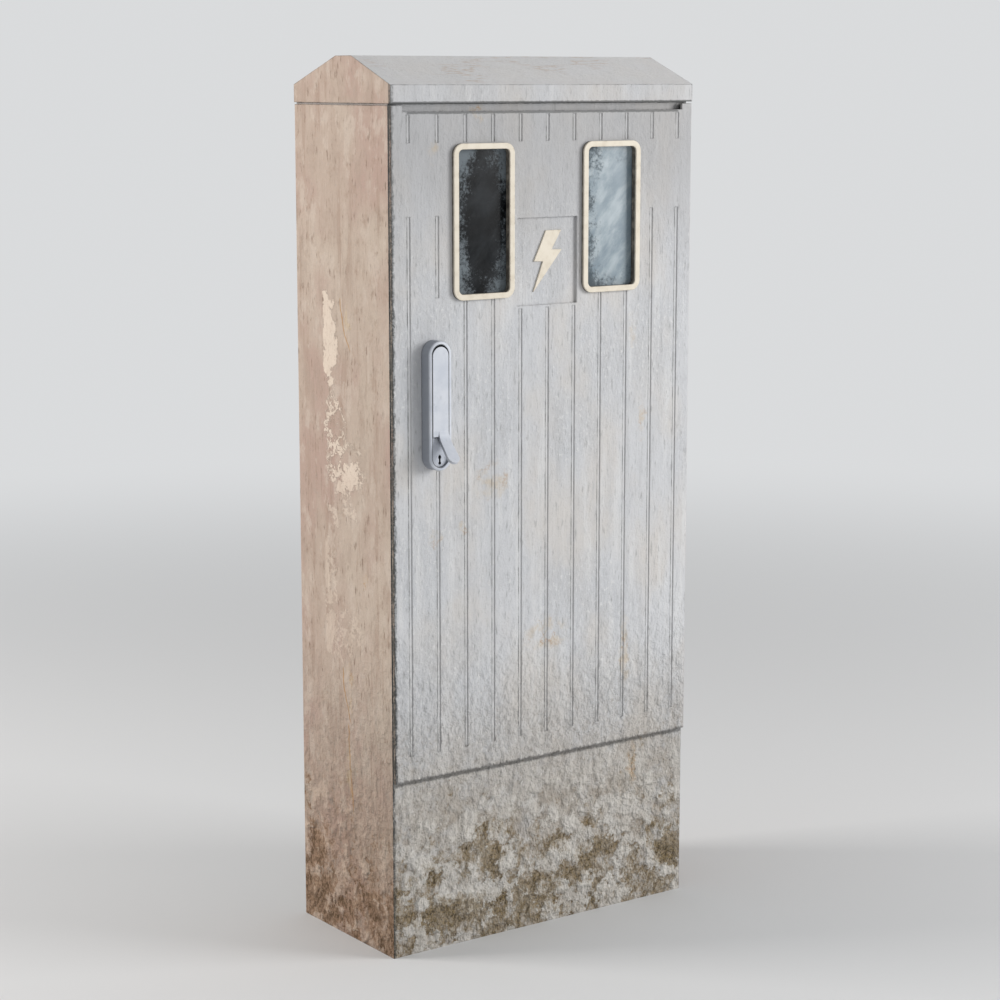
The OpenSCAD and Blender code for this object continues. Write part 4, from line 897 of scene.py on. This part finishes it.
class CABINET_OT_finish_windows(bpy.types.Operator):
    """Put the finishes on the window frames, panes and seals"""

    bl_idname = "cabinet.finish_windows"
    bl_label = "Finish windows"

    def execute(self, context):
        looks = context.scene.cabinet_finish
        cream = worn_cream("worn_cream", looks, True)
        for name in FRAME_NODES:
            wear(name, cream)
        dark = grimy_pane(
            "dark_pane", "left_window_frame", glass=(0.004, 0.005, 0.006), haze=(0.040, 0.046, 0.052),
            haze_share=0.50, dust=(0.205, 0.238, 0.262), edges=(0.40, 0.29, 0.34, 0.40), shine=0.10)
        wear("left_window_pane", dark)
        pale = grimy_pane(
            "pale_pane", "right_window_frame", glass=(0.215, 0.278, 0.325), haze=(0.430, 0.495, 0.532),
            haze_share=1.0, dust=(0.060, 0.078, 0.092), edges=(0.46, 0.04, 0.16, 0.34), shine=0.25)
        wear("right_window_pane", pale)
        rubber = plain_finish("sponge_rubber", (0.020, 0.020, 0.022), (0.045, 0.045, 0.048), 0.0, 0.85,
                              120.0)
        for name in RUBBER_NODES:
            wear(name, rubber)
        return {"FINISHED"}


class CABINET_OT_finish_handle(bpy.types.Operator):
    """Put the coat on the handle's housing, its lever and the face of its lock"""

    bl_idname = "cabinet.finish_handle"
    bl_label = "Finish handle"

    def execute(self, context):
        coat = coated_handle(context.scene.cabinet_finish)
        for name in HANDLE_NODES:
            wear(name, coat)
        return {"FINISHED"}


class CABINET_OT_add_lever(bpy.types.Operator):
    """Give the lever a tongue that bends out of the right half of its face and ends round"""

    bl_idname = "cabinet.add_lever"
    bl_label = "Add lever"

    def execute(self, context):
        looks = context.scene.cabinet_finish
        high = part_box("handle_lever")[1]
        face_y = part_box("handle_housing")[0].y
        root = Vector((high.x - looks.tongue_width / 2, face_y, high.z - looks.lever_bar))
        form = bmesh.new()
        form.from_mesh(NODES["handle_lever"].data)
        bmesh.ops.remove_doubles(form, verts=form.verts[:], dist=MERGE_DISTANCE)
        whole = form.verts[:] + form.edges[:] + form.faces[:]
        down = (0.0, 0.0, -1.0)
        cut = bmesh.ops.bisect_plane(form, geom=whole, plane_co=root, plane_no=down, clear_outer=True)
        rim = [edge for edge in cut["geom_cut"] if isinstance(edge, bmesh.types.BMEdge)]
        grown = bmesh.ops.extrude_edge_only(form, edges=rim)["geom"]
        ends = [corner for corner in grown if isinstance(corner, bmesh.types.BMVert)]
        bmesh.ops.translate(form, vec=(0.0, 0.0, -looks.lever_foot), verts=ends)
        foot = [edge for edge in grown if isinstance(edge, bmesh.types.BMEdge)]
        bmesh.ops.holes_fill(form, edges=foot)
        bend_tongue(form, root, looks)
        bmesh.ops.recalc_face_normals(form, faces=form.faces[:])
        lever = finished_piece("bent_lever", form, bpy.data.materials["coated_handle"])
        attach(lever, "lever")
        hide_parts("handle_lever")
        return {"FINISHED"}


def bend_tongue(form, root, looks):
    """Add a tongue that leaves the lever's face flush, bends outwards and widens to a round end."""
    radius = looks.tongue_width / 2 + looks.tongue_flare
    straight = [n / STRAIGHT_ROWS * (looks.tongue_length - radius) for n in range(STRAIGHT_ROWS + 1)]
    rounded = [looks.tongue_length - radius * (1 - math.sin(math.pi / 2 * n / ROUND_ROWS))
               for n in range(1, ROUND_ROWS + 1)]
    rows = []
    place, walked = root.copy(), 0.0
    for along in straight + rounded:
        turn = looks.tongue_bend * min(1.0, (along + walked) / 2 / looks.bend_length)
        place = place + Vector((0.0, -math.sin(turn), -math.cos(turn))) * (along - walked)
        walked = along
        beyond = max(0.0, along - looks.tongue_length + radius)
        half = looks.tongue_width / 2 + looks.tongue_flare * min(1.0, along / (looks.tongue_length - radius))
        half = max(half * math.sqrt(max(0.0, 1 - (beyond / radius) ** 2)), TIP_HALF)
        inward = Vector((0.0, math.cos(turn), -math.sin(turn))) * looks.tongue_thickness
        sides = [Vector((-half, 0.0, 0.0)), Vector((half, 0.0, 0.0))]
        corners = [place + sides[0], place + sides[1], place + sides[1] + inward, place + sides[0] + inward]
        rows.append([form.verts.new(corner) for corner in corners])
    for upper, lower in zip(rows, rows[1:]):
        for n in range(4):
            face = form.faces.new([upper[n], upper[n - 1], lower[n - 1], lower[n]])
            face.smooth = True
            form.edges.get([upper[n], lower[n]]).smooth = False
    form.faces.new(rows[0])
    form.faces.new(rows[-1][::-1])


class CABINET_OT_finish_inside(bpy.types.Operator):
    """Put the finishes on the fittings inside the cabinet"""

    bl_idname = "cabinet.finish_inside"
    bl_label = "Finish inside"

    def execute(self, context):
        zinc = plain_finish("dull_zinc", (0.36, 0.37, 0.38), (0.50, 0.51, 0.52), 0.85, 0.45, 55.0)
        copper = plain_finish("tarnished_copper", (0.82, 0.44, 0.30), (0.68, 0.34, 0.22), 1.0, 0.32, 12.0,
                              stretch_by=(1.0, 4.0, 4.0))
        pale = plain_finish("pale_moulding", (0.60, 0.59, 0.55), (0.56, 0.55, 0.51), 0.0, 0.48, 14.0)
        dark = plain_finish("dark_moulding", (0.045, 0.047, 0.050), (0.070, 0.072, 0.075), 0.0, 0.55, 40.0)
        glaze = plain_finish("glazed_ceramic", (0.74, 0.71, 0.65), (0.66, 0.62, 0.55), 0.0, 0.28, 50.0,
                             relief=0.1)
        groups = [(STEEL_NODES, zinc), (COPPER_NODES, copper), (PALE_NODES, pale), (DARK_NODES, dark),
                  (["fuse_links"], glaze)]
        for names, material in groups:
            for name in names:
                wear(name, material)
        return {"FINISHED"}


class CABINET_OT_add_flash(bpy.types.Operator):
    """Set the raised lightning flash into its recess between the windows"""

    bl_idname = "cabinet.add_flash"
    bl_label = "Add flash"

    def execute(self, context):
        looks = context.scene.cabinet_finish
        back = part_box("door_panel")[0].y + looks.sign_depth
        points = [Vector((x * looks.sign_width / 2, back, looks.sign_level + z * looks.sign_height / 2))
                  for x, z in FLASH_SHARES]
        form = bmesh.new()
        face = form.faces.new([form.verts.new(p) for p in points])
        face.normal_update()
        bmesh.ops.triangulate(form, faces=[face])
        grown = bmesh.ops.extrude_face_region(form, geom=form.faces[:])
        moved = [v for v in grown["geom"] if isinstance(v, bmesh.types.BMVert)]
        bmesh.ops.translate(form, vec=(0.0, -looks.flash_relief, 0.0), verts=moved)
        bmesh.ops.recalc_face_normals(form, faces=form.faces[:])
        flash = finished_piece("lightning_flash", form, worn_cream("flash_cream", looks, False))
        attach(flash, "door")
        return {"FINISHED"}


class CABINET_OT_add_registers(bpy.types.Operator):
    """Set a dark counter with a row of blank drums into the dial of each meter"""

    bl_idname = "cabinet.add_registers"
    bl_label = "Add registers"

    def execute(self, context):
        looks = context.scene.cabinet_finish
        ink = plain_finish("register_black", (0.012, 0.012, 0.013), (0.022, 0.022, 0.024), 0.0, 0.35, 60.0)
        drum = plain_finish("drum_white", (0.62, 0.61, 0.57), (0.55, 0.54, 0.50), 0.0, 0.40, 80.0)
        for name in ["left_meter_cover", "right_meter_cover"]:
            low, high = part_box(name)
            middle = Vector(((low.x + high.x) / 2, low.y + looks.dial_depth, high.z - looks.dial_height))
            form = bmesh.new()
            half = Vector((looks.dial_width, 0.0, looks.dial_height)) / 2
            half += Vector((-DIAL_MARGIN, PLATE_RELIEF, -DIAL_MARGIN))
            add_block(form, middle, half, 0)
            pitch = 2 * half.x / (looks.drum_count + 1)
            for n in range(looks.drum_count):
                across = (n - (looks.drum_count - 1) / 2) * pitch
                place = middle + Vector((across, -PLATE_RELIEF, 0.0))
                drum_half = Vector((DRUM_SHARES[0] * pitch, 2 * PLATE_RELIEF, DRUM_SHARES[1] * half.z))
                add_block(form, place, drum_half, 1)
            register = finished_piece(name.replace("cover", "register"), form, ink)
            register.data.materials.append(drum)
            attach(register, "cabinet")
        return {"FINISHED"}


def add_block(form, middle, half, finish):
    """Add a block with rounded edges, cut off flat at its middle so that nothing lies behind it."""
    made = bmesh.ops.create_cube(form, size=2.0)["verts"]
    bmesh.ops.scale(form, vec=half, verts=made)
    bmesh.ops.translate(form, vec=middle, verts=made)
    for corner in made:
        corner.co.y = min(corner.co.y, middle.y)
    edges = list({edge for corner in made for edge in corner.link_edges})
    rounded = bmesh.ops.bevel(form, geom=edges, offset=BLOCK_ROUNDING, segments=2, profile=0.5,
                              affect="EDGES")
    for face in {face for corner in rounded["verts"] for face in corner.link_faces}:
        face.material_index = finish


class CABINET_OT_add_screws(bpy.types.Operator):
    """Drive slotted screws into the pane retainers, the lock cover, the neutral bar and the cable clamps"""

    bl_idname = "cabinet.add_screws"
    bl_label = "Add screws"

    def execute(self, context):
        looks = context.scene.cabinet_finish
        tree = screw_tree(bpy.data.materials["dull_zinc"])
        drive_screws("door_screws", "door", door_screw_places(looks), tree, looks)
        drive_screws("cabinet_screws", "cabinet", cabinet_screw_places(), tree, looks)
        return {"FINISHED"}


def door_screw_places(looks):
    """Places, directions and sizes of the screws in the pane retainers and the lock cover."""
    inward = Vector((0.0, 1.0, 0.0))
    places = []
    for name in ["left_pane_retainer", "right_pane_retainer"]:
        low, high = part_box(name)
        inset = RETAINER_BAR / 2
        for share in RETAINER_SCREWS:
            level = low.z + share * (high.z - low.z)
            places += [(Vector((x, high.y, level)), inward, 1.0) for x in (low.x + inset, high.x - inset)]
        middle = (low.x + high.x) / 2
        places += [(Vector((middle, high.y, z)), inward, 1.0) for z in (low.z + inset, high.z - inset)]
    low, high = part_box("lock_cover")
    inset = 2 * looks.screw_radius
    places += [(Vector((x, high.y, z)), inward, 1.0)
               for x in (low.x + inset, high.x - inset) for z in (low.z + inset, high.z - inset)]
    return places


def cabinet_screw_places():
    """Places, directions and sizes of the screws in the neutral bar and the cable clamps."""
    outward = Vector((0.0, -1.0, 0.0))
    low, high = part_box("neutral_bar")
    span = high.x - low.x - 2 * BAR_HOLE_MARGIN
    middle = (low.z + high.z) / 2
    across = [low.x + BAR_HOLE_MARGIN + span * k / (BAR_HOLES - 1) for k in range(BAR_HOLES)]
    places = [(Vector((x, low.y, middle)), outward, BAR_SCREW_SIZE) for x in across]
    strips = [sum(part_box(f"fuse_base_{n}"), Vector()) / 2 for n in range(1, 5)]
    low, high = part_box("cable_clamps")
    half = (high.x - low.x - (strips[-1].x - strips[0].x)) / 2
    middle = (low.z + high.z) / 2
    across = [strip.x + side * half * CLAMP_SCREW_SHARE for strip in strips for side in (-1, 1)]
    return places + [(Vector((x, low.y, middle)), outward, CLAMP_SCREW_SIZE) for x in across]


def screw_tree(material):
    """Geometry nodes that put a slotted head on each point, along its facing and of its size."""
    tree = bpy.data.node_groups.new("slotted_heads", "GeometryNodeTree")
    tree.interface.new_socket("Points", in_out="INPUT", socket_type="NodeSocketGeometry")
    for name in ["Head radius", "Head height", "Slot width"]:
        tree.interface.new_socket(name, in_out="INPUT", socket_type="NodeSocketFloat")
    tree.interface.new_socket("Facets", in_out="INPUT", socket_type="NodeSocketInt")
    tree.interface.new_socket("Heads", in_out="OUTPUT", socket_type="NodeSocketGeometry")
    given = tree.nodes.new("NodeGroupInput").outputs
    radius, height = given["Head radius"], given["Head height"]
    sizes = {"Vertices": given["Facets"], "Radius Top": times(tree, radius, HEAD_TOP),
             "Radius Bottom": radius, "Depth": height}
    head = make(tree, "GeometryNodeMeshCone", sizes).outputs["Mesh"]
    sizes = {0: times(tree, radius, SLOT_REACH), 1: given["Slot width"], 2: height}
    slot_size = make(tree, "ShaderNodeCombineXYZ", sizes)
    bar = make(tree, "GeometryNodeMeshCube", {"Size": slot_size.outputs[0]}).outputs["Mesh"]
    rise = make(tree, "ShaderNodeCombineXYZ", {2: height})
    bar = make(tree, "GeometryNodeTransform", {"Geometry": bar, "Translation": rise.outputs[0]}).outputs[0]
    inputs = {"Mesh 1": head, "Mesh 2": bar}
    head = make(tree, "GeometryNodeMeshBoolean", inputs, operation="DIFFERENCE").outputs["Mesh"]
    facing = make(tree, "GeometryNodeInputNamedAttribute", {"Name": "facing"}, data_type="FLOAT_VECTOR")
    inputs = {"Vector": facing.outputs[0]}
    turn = make(tree, "FunctionNodeAlignRotationToVector", inputs, axis="Z").outputs[0]
    twist = make(tree, "FunctionNodeRandomValue", {"Max": math.pi, "Seed": 7}, data_type="FLOAT")
    inputs = {"Axis": (0.0, 0.0, 1.0), "Angle": twist.outputs["Value"]}
    twist = make(tree, "FunctionNodeAxisAngleToRotation", inputs)
    inputs = {"Rotation": turn, "Rotate By": twist.outputs[0]}
    turn = make(tree, "FunctionNodeRotateRotation", inputs, rotation_space="LOCAL").outputs[0]
    size = make(tree, "GeometryNodeInputNamedAttribute", {"Name": "size"}, data_type="FLOAT").outputs[0]
    inputs = {"Points": given["Points"], "Instance": head, "Rotation": turn, "Scale": size}
    heads = make(tree, "GeometryNodeInstanceOnPoints", inputs)
    heads = make(tree, "GeometryNodeRealizeInstances", {"Geometry": heads.outputs[0]})
    heads = make(tree, "GeometryNodeSetMaterial", {"Geometry": heads.outputs[0], "Material": material})
    make(tree, "NodeGroupOutput", {"Heads": heads.outputs[0]})
    return tree


def drive_screws(name, body, places, tree, looks):
    """Make the screws of one body from their places, directions and sizes."""
    mesh = bpy.data.meshes.new(name)
    mesh.from_pydata([place for place, _, _ in places], [], [])
    mesh.attributes.new("facing", "FLOAT_VECTOR", "POINT")
    mesh.attributes.new("size", "FLOAT", "POINT")
    for index, (_, direction, size) in enumerate(places):
        mesh.attributes["facing"].data[index].vector = direction
        mesh.attributes["size"].data[index].value = size
    piece = bpy.data.objects.new(name, mesh)
    bpy.context.scene.collection.objects.link(piece)
    modifier = piece.modifiers.new("heads", "NODES")
    modifier.node_group = tree
    values = {"Head radius": looks.screw_radius, "Head height": looks.screw_height,
              "Slot width": looks.screw_slot, "Facets": looks.screw_sides}
    for socket in tree.interface.items_tree:
        if socket.name in values:
            modifier[socket.identifier] = values[socket.name]
    graph = bpy.context.evaluated_depsgraph_get()
    finished = bpy.data.meshes.new_from_object(piece.evaluated_get(graph))
    piece.modifiers.clear()
    piece.data = finished
    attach(piece, body)


def finished_piece(name, form, material):
    """Turn a bmesh into an object at the origin with its finish."""
    mesh = bpy.data.meshes.new(name)
    form.to_mesh(mesh)
    form.free()
    mesh.materials.append(material)
    piece = bpy.data.objects.new(name, mesh)
    bpy.context.scene.collection.objects.link(piece)
    return piece


class CABINET_OT_add_stage(bpy.types.Operator):
    """Make the pale floor, the lamps and the camera"""

    bl_idname = "cabinet.add_stage"
    bl_label = "Add stage"

    def execute(self, context):
        studio = context.scene.cabinet_studio
        add_floor(studio)
        add_room_light(context.scene, studio)
        add_lamp("key_lamp", (3.4, -3.2, 2.0), 2.2, studio.key_power, (1.0, 0.99, 0.98))
        add_lamp("left_lamp", (-3.2, 2.0, 2.1), 1.4, studio.fill_power, (1.0, 0.96, 0.92))
        add_lamp("roof_lamp", (0.0, 0.3, 3.2), 1.2, studio.roof_power, (1.0, 1.0, 1.0))
        add_camera(context.scene, studio)
        context.scene.view_settings.view_transform = "Standard"
        return {"FINISHED"}


def add_floor(studio):
    """A wide pale floor that fades into the background far away."""
    material, tree, shader = new_material("pale_floor")
    where = make(tree, "ShaderNodeTexCoord").outputs["Object"]
    far = vector_calc(tree, "LENGTH", where)
    plug(tree, shader, Base_Color=rgba(studio.floor_color), Roughness=0.9)
    glow = make(tree, "ShaderNodeEmission", {"Color": rgba(studio.floor_color), "Strength": 1.0})
    inputs = {0: ramp(tree, far, *FLOOR_FADE), 1: shader.outputs[0], 2: glow.outputs[0]}
    fade = make(tree, "ShaderNodeMixShader", inputs)
    output = next(n for n in tree.nodes if n.type == "OUTPUT_MATERIAL")
    tree.links.new(fade.outputs[0], output.inputs["Surface"])
    form = bmesh.new()
    bmesh.ops.create_circle(form, cap_ends=True, segments=96, radius=FLOOR_RADIUS)
    finished_piece("studio_floor", form, material)


def add_room_light(scene, studio):
    """Even light all round; the camera and reflections see the pale background."""
    world = bpy.data.worlds.new("studio_room")
    scene.world = world
    world.use_nodes = True
    tree = world.node_tree
    tree.nodes.clear()
    path = make(tree, "ShaderNodeLightPath")
    rays = [path.outputs[name] for name in ["Is Camera Ray", "Is Glossy Ray", "Is Transmission Ray"]]
    seen = calc(tree, "MAXIMUM", *rays)
    inputs = {"Color": (1.0, 1.0, 1.0, 1.0), "Strength": studio.world_light}
    light = make(tree, "ShaderNodeBackground", inputs)
    back = make(tree, "ShaderNodeBackground", {"Color": rgba(studio.floor_color), "Strength": 1.0})
    both = make(tree, "ShaderNodeMixShader", {0: seen, 1: light.outputs[0], 2: back.outputs[0]})
    make(tree, "ShaderNodeOutputWorld", {"Surface": both.outputs[0]})


def add_lamp(name, place, size, power, color):
    """A square soft lamp that looks at the cabinet's middle."""
    lamp = bpy.data.lights.new(name, "AREA")
    lamp.energy = power
    lamp.size = size
    lamp.color = color
    holder = bpy.data.objects.new(name, lamp)
    holder.location = place
    holder.rotation_euler = (Vector(LAMP_TARGET) - Vector(place)).to_track_quat("-Z", "Y").to_euler()
    bpy.context.scene.collection.objects.link(holder)


def add_camera(scene, studio):
    """A camera at the photograph's place."""
    camera = bpy.data.cameras.new("photo_camera")
    camera.sensor_fit = "HORIZONTAL"
    camera.sensor_width = 36.0
    camera.lens = studio.lens
    holder = bpy.data.objects.new("photo_camera", camera)
    holder.location = studio.camera_place
    holder.rotation_euler = (math.pi / 2 - studio.camera_pitch, 0.0, -studio.camera_yaw)
    scene.collection.objects.link(holder)
    scene.camera = holder


class CABINET_PT_panel(bpy.types.Panel):
    """Sidebar panel with one button for each group of pieces"""

    bl_idname = "CABINET_PT_panel"
    bl_label = "Fuse Cabinet"
    bl_space_type = "VIEW_3D"
    bl_region_type = "UI"
    bl_category = "Cabinet"

    def draw(self, context):
        for operator in OPERATORS:
            self.layout.operator(operator.bl_idname)


OPERATORS = [
    CABINET_OT_finish_shell, CABINET_OT_finish_windows, CABINET_OT_finish_handle, CABINET_OT_add_lever,
    CABINET_OT_finish_inside, CABINET_OT_add_flash, CABINET_OT_add_registers, CABINET_OT_add_screws,
    CABINET_OT_add_stage,
]
CLASSES = [CabinetFinish, StudioSettings, *OPERATORS, CABINET_PT_panel]


def register():
    for item in CLASSES:
        bpy.utils.register_class(item)
    bpy.types.Scene.cabinet_finish = PointerProperty(type=CabinetFinish)
    bpy.types.Scene.cabinet_studio = PointerProperty(type=StudioSettings)


def unregister():
    del bpy.types.Scene.cabinet_studio
    del bpy.types.Scene.cabinet_finish
    for item in reversed(CLASSES):
        bpy.utils.unregister_class(item)


def main():
    register()
    bpy.ops.cabinet.finish_shell()
    bpy.ops.cabinet.finish_windows()
    bpy.ops.cabinet.finish_handle()
    bpy.ops.cabinet.add_lever()
    bpy.ops.cabinet.finish_inside()
    bpy.ops.cabinet.add_flash()
    bpy.ops.cabinet.add_registers()
    bpy.ops.cabinet.add_screws()
    bpy.ops.cabinet.add_stage()


if __name__ == "__main__":
    main()
